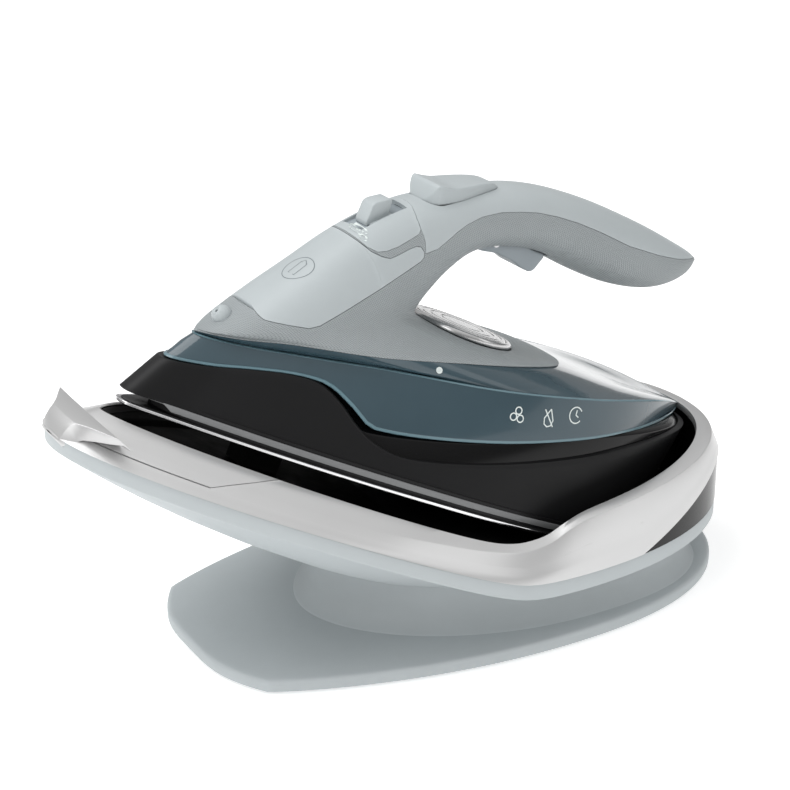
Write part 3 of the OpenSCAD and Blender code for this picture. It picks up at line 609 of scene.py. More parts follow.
M = {
    "pale_grey": finish("moulded_pale_grey", (179, 186, 188), rough=0.42, vary=0.02, smudge=0.05, spec=0.4),
    "grip_grey": finish("knurled_grip_grey", (160, 166, 168), rough=0.55, vary=0.03, knurl=0.88, spec=0.35),
    "base_grey": finish("moulded_base_grey", (182, 188, 190), rough=0.5, vary=0.02, smudge=0.05, spec=0.35),
    "tank_teal": finish("tinted_tank_teal", (56, 76, 85), rough=0.16, vary=0.06, coat=0.5, coat_rough=0.06,
                        grain=900.0, bump=0.04, edge_highlight=0.3, patch=22.0, smudge=0.05),
    # lighter copy of the tank's teal: painted highlight for the edge and crease ribbons
    "tank_highlight": finish("tank_edge_painted_highlight", (96, 124, 133), rough=0.2, vary=0.06, coat=0.4, coat_rough=0.08,
                         grain=900.0, bump=0.04, edge_highlight=0.2, patch=22.0, smudge=0.05),
    "black_satin": finish("satin_black_housing", (22, 22, 23), rough=0.42, vary=0.08, bump=0.15, edge_highlight=0.1,
                          spec=0.25, smudge=0.05),
    "black_gloss": finish("gloss_black_panel", (9, 9, 10), rough=0.16, vary=0.08, bump=0.03, edge_highlight=0.05,
                          spec=0.3, smudge=0.05),
    "black_lining": finish("matt_black_lining", (4, 4, 4), rough=0.7, vary=0.05, bump=0.1, edge_highlight=0.0, spec=0.05),
    "rim_silver": finish("painted_silver_rim", (205, 205, 205), rough=0.3, metal=0.55, vary=0.008, bump=0.06,
                         grain=5200.0, edge_highlight=0.1, smudge=0.02),
    "dial_metal": finish("spun_dial_metal", (196, 196, 196), rough=0.24, metal=1.0, vary=0.03, bump=0.06,
                         edge_highlight=0.1, smudge=0.03),
    "sole_steel": finish("polished_sole", (222, 222, 224), rough=0.16, metal=1.0, vary=0.02,
                         streak=(1.0, 14.0, 14.0), grain=500.0, bump=0.05),
    "casting": finish("cast_heater_body", (128, 129, 130), rough=0.5, metal=0.2, vary=0.05, grain=1500.0,
                      bump=0.2, depth=0.00005),
    "steel": finish("bright_steel", (190, 190, 190), rough=0.3, metal=1.0, vary=0.05),
    "brass": finish("contact_brass", (205, 170, 96), rough=0.28, metal=1.0, vary=0.06),
    "rubber": finish("black_rubber", (9, 9, 9), rough=0.8, vary=0.1, bump=0.3, depth=0.00006, spec=0.08),
    "inner_plastic": finish("inner_moulding", (200, 202, 200), rough=0.5, vary=0.05),
    "board": finish("supply_board_green", (38, 92, 58), rough=0.4, vary=0.12, grain=1200.0),
    "trigger_grey": finish("trigger_grey", (150, 158, 163), rough=0.45, vary=0.03, spec=0.3),
    "light_mark": finish("printed_light_mark", (224, 232, 230), rough=0.5, vary=0.02, spec=0.2),
    "dark_mark": finish("printed_dark_mark", (120, 128, 131), rough=0.5, vary=0.02, spec=0.2),
}

# what stays of the frame gets the finish of its slot
INNER = {
    "base_feet": "rubber", "base_screws": "steel", "well_pads": "rubber", "contact_block": "black_satin",
    "contact_pins": "brass", "power_inlet": "black_satin", "supply_board": "board",
    "heating_element": "casting", "sole_seal": "rubber", "heel_contacts": "black_satin",
    "pickup_tube": "inner_plastic", "slider_rod": "steel", "button_spring": "steel",
    "trigger_pin": "steel", "trigger_spring": "steel", "pump": "inner_plastic", "lid_pin": "steel",
    "filler_neck": "tank_teal", "dial_shaft": "steel", "thermostat": "casting",
    "drip_valve": "inner_plastic", "housing_screws": "steel", "heater_casting": "casting"}
for node, key in INNER.items():
    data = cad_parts[node].data
    data.materials.clear()
    data.materials.append(M[key])
    for poly in data.polygons:
        poly.use_smooth = True
    data.set_sharp_from_angle(angle=math.radians(35))


def stand(ob, key, *nodes):
    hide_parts(*nodes)
    return ob


# ---------------------------------------------------------------- cradle
rows = [loop(lambda u, z=z, d=d: base_at(u, z, d)) for z, d in
        ((1.2, 3), (1.2, 0.5), (1.35, 0.15), (1.8, 0), (4.7, 0), (5.5, 0.12), (6.1, 0.5), (6.4, 1.1), (6.5, 2.0),
         (6.5, 4))]
stand(loft("base_plate_top", rows, dock_place, M["base_grey"], "dock"), "base_grey", "base_plate")

rows = [loop(lambda u, z=z: ped_at(u, z, 6.6 * (1 - (z - 6.5) / 12.0) ** 2.3 - 0.02))
        for z in (6.5, 6.8, 7.3, 8, 9, 10.2, 11.6, 13.2, 15, 17)]
rows += [loop(lambda u, k=k: (lambda q: (q[0], q[1], mix(17, max(z_ped(q[0]) - 0.1, 18), k)))(ped_at(u, 0, 0)))
         for k in (0.3, 0.65, 0.93, 1)]
rows += [loop(lambda u: (lambda q: (q[0], q[1], max(z_ped(q[0]) - 0.1, 18)))(ped_at(u, 0, -2.4))),
         loop(lambda u: ped_at(u, 6.8, -2.4))]
stand(loft("pedestal_column", rows, dock_place, M["base_grey"], "dock", ring=True), "base_grey", "pedestal")

rows = [loop(lambda u: dock_at(u, z_mid, 0.6, -0.1)), loop(lambda u: dock_at(u, z_band, 0.5, 0.8)),
        loop(lambda u: dock_at(u, z_band, 0.75, 0.25))]
rows += [loop(lambda u, k=k: belly(u, k)) for k in (0, 0.03, 0.07, 0.13, 0.2, 0.3, 0.42, 0.55, 0.7, 0.85, 1)]
rows += [loop(lambda u, k=k: belly(u, k, 1.8)) for k in (1, 0.7, 0.42, 0.2, 0.07)]
rows += [loop(lambda u: dock_at(u, z_band, 2.6, 2.6)), loop(lambda u: dock_at(u, z_mid, 2.6, -0.1))]
rows = soften_all(rows, {0: 0.3})
stand(loft("cradle_shell", rows, dock_place, M["base_grey"], "dock", ring=True), "base_grey", "dock_shell")


# silver rim: an open run that stops at the latch plate's seam, over a band that goes all round
def run(p, start, end, n):
    """Half path from start to end, mirrored: open, from one side round to the other."""
    half = [p(mix(start, end, math.sin(math.pi / 2 * i / n))) for i in range(n + 1)]
    half[-1] = (half[-1][0], 0, half[-1][2])
    return half + [(q[0], -q[1], q[2]) for q in half[-2::-1]]


SEAM = (0.198, 0.136)
BAND = 1.45


def seam_at(k):
    return mix(SEAM[0], SEAM[1], clamp(k / BAND))


def rim_rows(place_rows, edge, gap, n):
    return [run(p, seam_at(k) + gap, edge, n) for p, k in place_rows]


def rim_face(k):
    """k 0 at the mouth, 1 at the crease, 2 at the lower edge."""
    def p(u):
        if k <= 1:
            a, b = mouth_at(u), rim_crease(u, 0)
            return tuple(mix(a[j], b[j], k) for j in range(3))
        a, b = rim_crease(u, 0), dock_at(u, z_low)
        return tuple(mix(a[j], b[j], k - 1) for j in range(3))
    return p


def drop(p, dz, din=0.0):
    def q(u):
        x, y, z = p(u)
        return (x, max(y - din, 0), z + dz)
    return q


def under_rim(u):
    x, y, z = rim_crease(u, 0.3)
    return (x * 0.985, max(y - 2.2, 0.2), z - 2.6)


faces = [(lambda u: mouth_at(u, -6.5), 0), (lambda u: mouth_at(u, -3), 0), (rim_face(0), 0),
         (rim_face(0.5), 0.5), (rim_face(1), 1), (rim_face(BAND), BAND), (under_rim, 1.2)]
rows = rim_rows(faces, 1.0, 0.0, 110)
rows = soften_all(rows, {2: 0.55, 4: 0.5})
stand(loft("cradle_rim", rows, dock_place, M["rim_silver"], "dock", ring=True, closed=False), "rim_silver",
      "dock_rim")
rows = [loop(rim_face(BAND)), loop(rim_face(1.7)), loop(rim_face(2)), loop(lambda u: dock_at(u, z_low, 1.6)),
        loop(drop(rim_face(BAND), -1.2, 1.8))]
rows = soften_all(rows, {2: 0.35})
loft("cradle_rim_band", rows, dock_place, M["rim_silver"], "dock", ring=True)
# bed under the latch plate
faces_bed = [(drop(rim_face(0), -6.5), 0), (drop(rim_face(0), -1.9), 0), (drop(rim_face(1), -1.9), 1),
             (drop(rim_face(BAND), -0.7, 0.5), BAND), (drop(rim_face(2), -0.5, 3.0), BAND),
             (drop(rim_face(1), -4, 2), 1)]
rows = rim_rows(faces_bed, 0.0, 0.004, 40)
loft("latch_bed", rows, dock_place, M["black_satin"], "dock", ring=True, closed=False)
# latch plate, flush with the rim
PLATE = BAND - 0.06
faces_top = [(drop(rim_face(0), -1.25), 0), (rim_face(0), 0), (rim_face(0.5), 0.5), (rim_face(1), 1),
             (rim_face(1.25), 1.25), (rim_face(PLATE), PLATE), (drop(rim_face(PLATE), -1.0, 0.6), PLATE),
             (drop(rim_face(1), -1.25, 0.6), 1)]
rows = rim_rows(faces_top, 0.0, -0.0018, 60)
rows = soften_all(rows, {1: 0.45, 3: 0.5, 5: 0.3})
latch = loft("latch_plate_top", rows, dock_place, M["rim_silver"], "latch", ring=True, closed=False)

# finger lip of the latch: x, half width, height, drop of its side
BEAK = [(-166.2, 35, 116.6, 0.4), (-168.2, 31, 119.2, 1.4), (-171.5, 24.5, 120.0, 3.0),
        (-175.2, 17, 120.7, 4.4), (-178.2, 12, 121.0, 5.2), (-180.4, 10.6, 119.9, 5.0),
        (-182.6, 9.8, 117.6, 3.4), (-184.9, 8.8, 113.8, 1.0)]
rows = []
for x, w, z, side in BEAK:
    reach = 1.2 + 0.5 * side
    top = [(x + 0.6 * (abs(k) / 3) ** 2, w * k / 3, z + 0.25 * (1 - (k / 3) ** 2)) for k in range(-3, 4)]
    low = [(x + 1.6, w + reach, z - side - 0.8), (x + 2.6, w * 0.8, z - side - 3.2),
           (x + 2.6, -w * 0.8, z - side - 3.2), (x + 1.6, -w - reach, z - side - 0.8)]
    rows.append(top + low)
bm = bmesh.new()
grid = [[bm.verts.new(dock_place(*p)) for p in r] for r in rows]
walls(bm, grid)
bm.faces.new(grid[0])
bm.faces.new(grid[-1])
bmesh.ops.recalc_face_normals(bm, faces=bm.faces)
bmesh.ops.bevel(bm, geom=[e for e in bm.edges if e.calc_face_angle(0) > 0.42], offset=0.0008, segments=4,
                profile=0.5, affect="EDGES", clamp_overlap=True)
stand(finish_mesh("latch_finger_lip", bm, M["rim_silver"], "latch", 60), "rim_silver", "latch_plate")

# rear panel under the ribbon
def panel_run(dz, d, top):
    def p(u):
        x = mix(53.5, 131 - d, u)
        w = max(dock_w(mix(-185, 131, (x + 185) / (316 - d))) - d, 0.3)
        return (x, w, (max(z_low(x) - 0.35, z_mid(x) + 0.4) if top else z_mid(x) + 0.05) + dz)
    return p


rows = [run(panel_run(0, 0.35, False), 0, 1, 60), run(panel_run(0, 0.35, True), 0, 1, 60),
        run(panel_run(0, 2.2, True), 0, 1, 60), run(panel_run(0, 2.2, False), 0, 1, 60)]
stand(loft("rear_panel_cover", rows, dock_place, M["black_gloss"], "dock", ring=True, closed=False),
      "black_gloss", "rear_panel")

# black tub
KS = (0, 0.1, 0.2, 0.3, 0.36, 0.42, 0.5, 0.58, 0.65, 0.75, 0.85, 0.93, 0.98, 1)
rows = [loop(lambda u, k=k: tub_at(u, k, 1.9, -2.2)) for k in reversed(KS)]
rows += [loop(lambda u, k=k: tub_at(u, k, 0.3, -2.0)) for k in KS]
stand(loft("well_tub_lining", rows, dock_place, M["black_lining"], "dock"), "black_gloss", "well_tub")


# ---------------------------------------------------------------- iron: sole and housing
def dip(u):
    """The sole's edge drops a little towards the nose."""
    return 2.2 * (1 - clamp(u / 0.5)) ** 1.3


def sole_row(t, d):
    return loop(lambda u: (lambda q: (q[0], q[1], t - dip(u)))(body_at(u, 0, d(u) if callable(d) else d)))


def recess(u):
    return 1.5 + 7.5 * (1 - clamp(u / 0.11)) ** 1.6


rows = [sole_row(t, d) for t, d in ((1.7, 3.0), (1.7, 0.5), (1.6, 0.12), (1.4, 0), (0.6, 0), (0.3, 0.15),
                                    (0.1, 0.5), (0.0, 1.2), (0.0, 4))]
sole = loft("sole_blank", rows, iron_place, M["sole_steel"], None)
VENT_R = 1.2
vent = []
for i in range(11):
    s = 40 + 14 * i
    vent += [(s, s * 0.19 + 4), (s, -s * 0.19 - 4)]
vent += [(96 + 14 * i, 0) for i in range(8)]
bm = bmesh.new()
for s, y in vent:
    round_ = [(s + VENT_R * math.cos(k * math.pi / 8), y + VENT_R * math.sin(k * math.pi / 8)) for k in range(16)]
    rings = [[bm.verts.new(iron_place(*q, t)) for q in round_] for t in (-0.6, 0.9)]
    walls(bm, rings)
    bm.faces.new(rings[0])
    bm.faces.new(rings[1])
bmesh.ops.recalc_face_normals(bm, faces=bm.faces)
me = cut(sole.data, ("DIFFERENCE", cutter(bm)))
bpy.data.objects.remove(sole)
stand(finish_object("sole_plate", me, M["sole_steel"], "iron", 30), "sole_steel", "soleplate")

# black heat guard over the sole, set back under the prow
rows = [sole_row(1.65, 3.4), sole_row(1.65, 1.0), sole_row(1.95, 1.15), sole_row(2.0, lambda u: recess(u) - 0.2),
        sole_row(2.2, recess), sole_row(7.4, recess), sole_row(7.4, lambda u: recess(u) + 3)]
loft("heat_guard", rows, iron_place, M["black_satin"], "iron")


def strip_run(t, d, start):
    """Open row from one side of the prow round the heel to the other."""
    us = [mix(start, 1, math.sin(math.pi / 2 * i / 110)) for i in range(111)]
    half = [body_at(u, 0, d)[:2] + (t - dip(u),) for u in us]
    half[-1] = (half[-1][0], 0, half[-1][2])
    return half + [(q[0], -q[1], q[2]) for q in half[-2::-1]]


rows = [strip_run(3.5, 2.6, 0.066), strip_run(3.5, 0.9, 0.066), strip_run(6.0, 0.9, 0.05),
        strip_run(6.0, 2.6, 0.05)]
rows = soften_all(rows, {1: 0.2, 2: 0.2})
loft("casting_edge", rows, iron_place, M["casting"], "iron", ring=True, closed=False)


def prow(u, d):
    return mix(d - 1.6, d, clamp(u / 0.07))


def housing_row(k, d, dt=0.0):
    return loop(lambda u: body_at(u, mix(6.2 - 1.2 * dip(u), t_housing(u), k) + dt, prow(u, d)))


rows = [housing_row(0, 5.0), housing_row(0, 0.95), housing_row(0.14, 0.95),
        housing_row(0.35, 0.95), housing_row(0.6, 0.95), housing_row(0.85, 0.95),
        housing_row(1, 0.95), housing_row(1, 3.0), housing_row(0.8, 3.3), housing_row(0, 5.0, 1)]
rows = soften_all(rows, {1: 0.25, 6: 0.5})
stand(loft("housing_shell", rows, iron_place, M["black_satin"], "iron", ring=True), "black_satin",
      "lower_housing")

rows = [loop(lambda u: body_at(u, t_housing(u) - 7, 3.4)), loop(lambda u: body_at(u, t_housing(u) - 0.6, 3.2)),
        loop(lambda u: body_at(u, max(t_tank(u) - 2.6, t_housing(u) - 0.5), 3.0)),
        loop(lambda u: body_at(u, t_tank(u) - 1.4, 3.4 if u < 0.3 else 4.4)),
        loop(lambda u: tank_at(u, t_tank(u) - 0.4, 5.2)), loop(lambda u: tank_at(u, t_tank(u) - 3.4, 5.6)),
        loop(lambda u: body_at(u, t_housing(u) - 7, 6))]
rows = soften_all(rows, {3: 0.7, 2: 0.8})
stand(loft("chassis_ledge", rows, iron_place, M["black_gloss"], "iron", ring=True), "black_gloss", "chassis")


# tank
def crease_row(d, dt):
    return loop(lambda u: (lambda q: (q[0], q[1], q[2] + dt))(tank_at(u, t_crease(u), d)))


rows = [loop(lambda u: tank_at(u, t_tank(u), 2.6)),
        loop(lambda u: tank_at(u, t_tank(u), 1.0)), loop(lambda u: tank_at(u, t_tank(u) + 1.5, 0.55)),
        loop(lambda u: tank_at(u, mix(t_tank(u), t_crease(u), 0.3), 0.7)),
        loop(lambda u: tank_at(u, mix(t_tank(u), t_crease(u), 0.6), 0.7)),
        crease_row(0.75, -1.3), crease_row(0.9, -0.55), crease_row(1.5, -0.1), crease_row(2.6, 0.05)]


def deck(k, sink):
    def p(u):
        a, b = tank_at(u, t_crease(u), 2.6), skirt_at(u, 0.2, -0.1)
        return (mix(a[0], b[0], k), mix(a[1], b[1], k), mix(a[2] + 0.05, b[2], k) - sink * math.sin(math.pi * k))
    return loop(p)


rows += [deck(0.25, 0.5), deck(0.5, 0.6), deck(0.8, 0.4), deck(1, 0)]
rows += [loop(lambda u: skirt_at(u, 3, -0.1)), loop(lambda u: skirt_at(u, 3, -2.4)),
         loop(lambda u: (lambda q: (q[0], q[1], q[2] - 2.2))(tank_at(u, t_crease(u), 3.8))),
         loop(lambda u: tank_at(u, mix(t_tank(u), t_crease(u), 0.4), 3.4)),
         loop(lambda u: tank_at(u, t_tank(u) + WALL, 3.6))]
rows = soften_all(rows, {1: 0.25, 2: 0.4})
stand(loft("tank_body", rows, iron_place, M["tank_teal"], "iron"), "tank_teal", "water_tank")

# lighter teal ribbons along the tank's lower edge and along its crease: painted highlight
rows = [loop(lambda u: tank_at(u, t_tank(u) + 0.15, 0.75)), loop(lambda u: tank_at(u, t_tank(u) + 0.5, 0.4)),
        loop(lambda u: tank_at(u, t_tank(u) + 1.3, 0.35)), loop(lambda u: tank_at(u, t_tank(u) + 1.75, 0.85))]
loft("tank_edge_highlight_bead", rows, iron_place, M["tank_highlight"], "iron", ring=True)
rows = [crease_row(0.95, -0.75), crease_row(0.6, -0.45), crease_row(1.1, 0.0), crease_row(1.6, 0.0)]
loft("tank_crease_highlight_bead", rows, iron_place, M["tank_highlight"], "iron", ring=True)

# ---------------------------------------------------------------- iron: skirt, column and handle
A = 128
ANGLES = [2 * math.pi * i / A for i in range(A)]


def skirt_point(a, d=0.0, up=0.0):
    c, v = math.cos(a), math.sin(a)
    q = skirt_at((1 - c) / 2, d, up)
    return Vector((q[0], 0 if abs(v) < 1e-6 else math.copysign(q[1], v), q[2]))


def start_index(a):
    return 1.0 + 1.6 * smooth((1 - math.cos(a)) / 2 * 1.25)


def flare(a, w):
    """From the skirt's edge, w 0, to the column, w 1: flat over the tank at first, then turning up."""
    p0, i = skirt_point(a, 0, 0.05), start_index(a)
    p3 = on_handle(i, a)
    up = on_handle(i + 0.35, a) - p3
    up.normalize()
    level = min(p0.z + 0.7, 62.4)
    corner = p3 - up * clamp((p3.z - level) / max(up.z, 0.25), 0, 40)
    p1, p2 = p0.lerp(corner, 0.78), p3.lerp(corner, 0.75)
    p1.z = max(p1.z, min(p0.z, level))
    return p0 * (1 - w) ** 3 + p1 * 3 * w * (1 - w) ** 2 + p2 * 3 * w * w * (1 - w) + p3 * w ** 3


rows = [[tuple(skirt_point(a, 3.2, -1.8)) for a in ANGLES], [tuple(skirt_point(a, 3.0, 0.0)) for a in ANGLES],
        [tuple(skirt_point(a, 0.25, 0.0)) for a in ANGLES], [tuple(skirt_point(a, 0.0, 0.35)) for a in ANGLES],
        [tuple(skirt_point(a, 0.3, 0.9)) for a in ANGLES]]


def lifted(a, w):
    p = flare(a, w)
    return (p.x, p.y, p.z + 0.9 * max(0, 1 - w * 1.2))


rows += [[lifted(a, w) for a in ANGLES]
         for w in (0.08, 0.16, 0.25, 0.34, 0.43, 0.52, 0.61, 0.7, 0.79, 0.88, 0.95)]
COLUMN = 130
rows += [[tuple(on_handle(mix(start_index(a), 16, j / COLUMN), a)) for a in ANGLES] for j in range(COLUMN + 1)]
# round the tail off
rows += [[tuple(on_handle(16, a, 0) * (1 - k) + (on_handle(16, 0) + on_handle(16, math.pi)) * 0.5 * k
                + Vector((0.8 * k, 0, 0.1 * k))) for a in ANGLES] for k in (0.25, 0.6, 0.9)]
outer = loft("outer", rows, iron_place, None, None)
inner_rows = [[tuple(on_handle(mix(0.6, 15.2, j / 60), a, WALL)) for a in ANGLES[::2]] for j in range(61)]
inner = loft("inner", inner_rows, iron_place, None, None)
solid, hollow = outer.data, inner.data
bpy.data.objects.remove(outer)
bpy.data.objects.remove(inner)


def lid_side(d):
    arc = [(LID[0] + (3 + d) * math.cos(math.radians(g)), LID[1] + (3 + d) * math.sin(math.radians(g)))
           for g in range(160, 271, 11)]
    low = [(57 + d, 51.2 - d), (61.2 + d, 53.6 - d), (64.8 + d, 57.1 - d), (82.6 + d, 74.3 - d),
           (98.2 + d, 90.2 - d), (99.2 + d, 92.2), (98.6 + d, 94.4 + d), (96.4, 96.0 + d),
           (94, 95.6 + d * 1.2), (90.9, 93.3 + d * 1.2), (86.4, 89.4 + d * 1.2), (83.9, 87.6 + d * 1.2),
           (80.5, 87.2 + d * 1.2), (76, 87.6 + d * 1.3), (70, 90 + d * 1.3), (58 - d, 96 + d)]
    return [(20, 96), (20, 52.4)] + arc + low


def shrink(outline, d):
    """Outline moved inwards by d (a small seam)."""
    out, m = [], len(outline)
    area = sum(outline[i - 1][0] * outline[i][1] - outline[i][0] * outline[i - 1][1] for i in range(m))
    sign = 1 if area > 0 else -1
    for i in range(m):
        a, b, c = Vector(outline[i - 1]), Vector(outline[i]), Vector(outline[(i + 1) % m])
        n1 = Vector((-(b - a).y, (b - a).x)).normalized() * sign
        n2 = Vector((-(c - b).y, (c - b).x)).normalized() * sign
        n3 = (n1 + n2)
        n3 = n3 / max(n3.length_squared / 2, 0.4)
        out.append(tuple(b + n3 * d))
    return out


def plug(s, t, r, n=72):
    return turned([(r, -60), (r, 60)], lambda x, y, z: iron_place(s + x, z, t + y), n)


LID_IN = shrink(lid_side(0), 0.14)
PANEL_IN = shrink(PANEL, 0.14)
COVER_IN = shrink(COVER, 0.14)
dial_well = turned([(DIAL_R + 0.8, 62.4), (DIAL_R + 0.8, 90)], lambda x, y, z: iron_place(DIAL_S + x, y, z), 96)
neck_bore = turned([(11.4, 50), (11.4, 88)], lambda x, y, z: iron_place(72 + x, y, z))
trigger_pocket = prism([(129.2, 94), (130.6, 106), (137, 111.6), (152, 113.4), (167.2, 112.4), (167.2, 94)], 10.4)
me = cut(solid, ("DIFFERENCE", prism(lid_side(0.1))), ("DIFFERENCE", prism(shrink(PANEL, -0.05))),
         ("DIFFERENCE", prism(shrink(COVER, -0.05))), ("DIFFERENCE", dial_well), ("DIFFERENCE", neck_bore),
         ("DIFFERENCE", trigger_pocket),
         ("DIFFERENCE", prism([(35, 49.8), (38.5, 49.8), (38.5, 52.6), (35, 52.6)])))
stand(finish_object("grip_shell", me, M["grip_grey"], "iron", 38), "grip_grey", "upper_body")
me = cut(solid, ("INTERSECT", prism(LID_IN)), ("DIFFERENCE", hollow),
         ("DIFFERENCE", plug(LID[0], LID[1], LID_R + 0.05)))
stand(finish_object("filler_side_arms", me, M["pale_grey"], "iron", 38), "pale_grey", "filler_surround")
me = cut(solid, ("INTERSECT", prism(LID_IN)), ("INTERSECT", plug(LID[0], LID[1], LID_R)), ("DIFFERENCE", hollow))
stand(finish_object("filler_lid", me, M["pale_grey"], "lid", 38), "pale_grey", "fill_lid")
pocket = prism(rounded([(-6.1, -2.3), (17.0, -2.3), (17.4, 8), (-6.1, 8)], 0.8), 7.4, panel_place)
me = cut(solid, ("INTERSECT", prism(PANEL_IN)), ("DIFFERENCE", hollow), ("DIFFERENCE", pocket))
stand(finish_object("top_panel", me, M["pale_grey"], "iron", 38), "pale_grey", "control_panel")


def button_plan(d):
    side = [(-13.8 - d, 3), (-13.4 - d, 5.5 + d), (-12.8 - d, 7.3 + d), (-12 - d, 8.9 + d), (-11, 10.1 + d),
            (-9, 11.3 + d), (-7, 11.5 + d), (3, 10.9 + d), (14, 8.6 + d), (21 + d, 6.4 + d), (24 + d, 3.6)]
    return [(x, -y) for x, y in side] + side[::-1]


bm = bmesh.new()
plan = rounded(button_plan(0.35), 2.0, 3)
slab(bm, [button_place(x, y, -12) for x, y in plan], [button_place(x, y, 12) for x, y in plan])
button_hole = cutter(bm)
me = cut(solid, ("INTERSECT", prism(COVER_IN)), ("DIFFERENCE", hollow), ("DIFFERENCE", button_hole))
stand(finish_object("smooth_handle_cover", me, M["pale_grey"], "iron", 38), "pale_grey", "handle_cover")

# ---------------------------------------------------------------- controls
def bar(name, stations, place, mat, body, corner=0.9, n=4, angle=38):
    """Block along x: stations (x, half width, low, high); its corners are rounded."""
    rows = []
    for x, w, lo, hi, *rest in stations:
        r = min(rest[0] if rest else corner, w * 0.9, (hi - lo) * 0.45)
        pts = rounded([(w, lo), (w, hi), (-w, hi), (-w, lo)], r, n)
        rows.append([(x, y, z) for y, z in pts])
    bm = bmesh.new()
    grid = [[bm.verts.new(place(*p)) for p in r] for r in rows]
    walls(bm, grid)
    bm.faces.new(grid[0])
    bm.faces.new(grid[-1])
    return finish_mesh(name, bm, mat, body, angle)


def button_half(x):
    return curve([(-13.8, 3), (-13.4, 5.5), (-12.8, 7.3), (-12, 8.9), (-11, 10.1), (-10, 10.8), (-9, 11.3),
                  (-7, 11.5), (3, 10.9), (14, 8.5), (21, 6.3), (23.2, 4.8), (24, 3.4)], x)


def button_top(x):
    return curve([(-13.8, -3.2), (-12.6, -0.9), (-11.0, 2.2), (-10.2, 3.5), (-9.3, 4.05), (-8.2, 3.9), (-5, 3.0),
                  (-1, 2.2), (4, 2.1), (12, 2.0), (18.5, 1.4), (22, 0.1), (23.6, -1.8), (24, -2.6)], x)


xs = [-13.8, -13.5, -13.0, -12.4, -11.7, -11.1, -10.6, -10.2, -9.8, -9.3, -8.8, -8.2, -7.2, -6, -4.5, -3, -1, 1, 4,
      7, 10, 13, 16, 18.5, 20.5, 22, 23, 23.6, 24]
stations = [(x, button_half(x) * (0.97 if k in (0, len(xs) - 1) else 1), -4.4, max(button_top(x), -4.0), 1.1)
            for k, x in enumerate(xs)]
stand(bar("boost_button_top", stations, button_place, M["pale_grey"], "button"), "pale_grey", "boost_button")

fin = [(-1.6, -2.1), (-1.2, -0.4), (-0.4, 0.5), (3.0, 4.6), (3.8, 5.35), (5.0, 5.7), (6.4, 5.75), (12.0, 4.7),
       (12.8, 4.2), (12.7, 3.5), (10.2, -0.6), (9.4, -2.1)]
extrude("slider_fin", fin, 4.6, panel_place, M["pale_grey"], "slider", bevel=0.45)
plate = [(0, -2.1), (11, -2.1), (11, -1.5), (0, -1.5)]
slider = extrude("slider_plate", plate, 5.4, panel_place, M["pale_grey"], "slider", bevel=0.2)
stand(slider, "pale_grey", "steam_slider")
track = [(-6.6, -2.25), (-6.6, -3.1), (17.6, -3.1), (17.6, -2.25)]
extrude("slider_track", track, 7.9, panel_place, M["trigger_grey"], "iron", bevel=0.2)

trig = rounded([(129.6, 103.6), (132, 107.4), (137.5, 110.4), (150, 110.8), (158, 109.2), (165.4, 109),
                (166, 107.6), (163.4, 100.8), (161.4, 99.6), (157.4, 99.8), (150, 101.9), (141, 102.6),
                (134, 101.6), (130.6, 101.6)], 1.8, 4)
stand(extrude("trigger_lever", trig, 9.4, iron_place, M["trigger_grey"], "trigger", bevel=1.1, segments=4),
      "pale_grey", "steam_trigger")


def nozzle_place(x, y, z):
    c, n = math.cos(math.radians(70)), math.sin(math.radians(70))
    return iron_place(31.2 + x * c - z * n, y, 42.6 + x * n + z * c)


profile = [(3.0, -6.5), (3.0, -3.0)]
profile += [(4.3 * math.cos(math.radians(g)), 4.3 * math.sin(math.radians(g))) for g in range(-40, 61, 8)]
profile += [(1.9, 3.86), (1.5, 3.5), (0.8, 3.4), (0.7, 3.3), (0.7, 1.5)]
stand(lathe("nozzle_ball", profile, nozzle_place, M["pale_grey"], "iron", 48), "pale_grey", "spray_nozzle")


# dial
def dial_place(x, y, z):
    return iron_place(DIAL_S + x, y, z)


R = DIAL_R
profile = [(R - 1.8, 63.4), (R - 1.4, 64.4), (R - 0.3, 64.8), (R, 65.3), (R, 66.6), (R - 0.25, 67.4),
           (R - 0.8, 67.9), (R - 1.5, 68.0), (R - 2.2, 67.85), (R - 2.5, 67.4), (R - 2.6, 67.0)]
stand(lathe("dial_ring", profile, dial_place, M["dial_metal"], "dial", 128), "dial_metal", "temperature_dial")
profile = [(R - 2.55, 67.05), (R - 2.7, 67.6), (R - 3.2, 68.05), (R - 4.4, 68.15), (R - 4.7, 67.95),
           (R - 5.4, 67.95), (R - 5.7, 68.2), (R - 8.2, 68.3), (R - 8.5, 68.05), (R - 9.3, 68.05),
           (R - 9.6, 68.3), (R - 13.2, 68.38), (R - 13.5, 68.1), (R - 14.3, 68.1), (R - 14.6, 68.38), (1.5, 68.42), (0.4, 68.42)]
stand(lathe("dial_face", profile, dial_place, M["dial_metal"], "dial", 128), "dial_metal", "dial_cap")

# ---------------------------------------------------------------- printed marks, with no text
def side_point(s, t):
    """Point of the panel's near skin at s and t."""
    best = None
    for j in range(161):
        f, r, hw = section(j / 10)
        length = math.hypot(f[0] - r[0], f[1] - r[1])
        e = ((f[0] - r[0]) / length, (f[1] - r[1]) / length)
        mx, my = (f[0] + r[0]) / 2, (f[1] + r[1]) / 2
        across = abs(-(s - mx) * e[1] + (t - my) * e[0])
        if best is None or across < best[0]:
            best = (across, clamp(abs((s - mx) * e[0] + (t - my) * e[1]) / (length / 2), 0, 0.999), hw)
    c = best[1] ** (1 / 0.9)
    return (s, -best[2] * max(1 - c * c, 0) ** 0.41 - 0.05, t)


def tank_point(s, t):
    lo, hi = 0.0, 1.0
    for _ in range(30):
        u = (lo + hi) / 2
        if tank_at(u, t, 0.7)[0] < s:
            lo = u
        else:
            hi = u
    return (s, -tank_at(u, t, 0.62)[1], t)


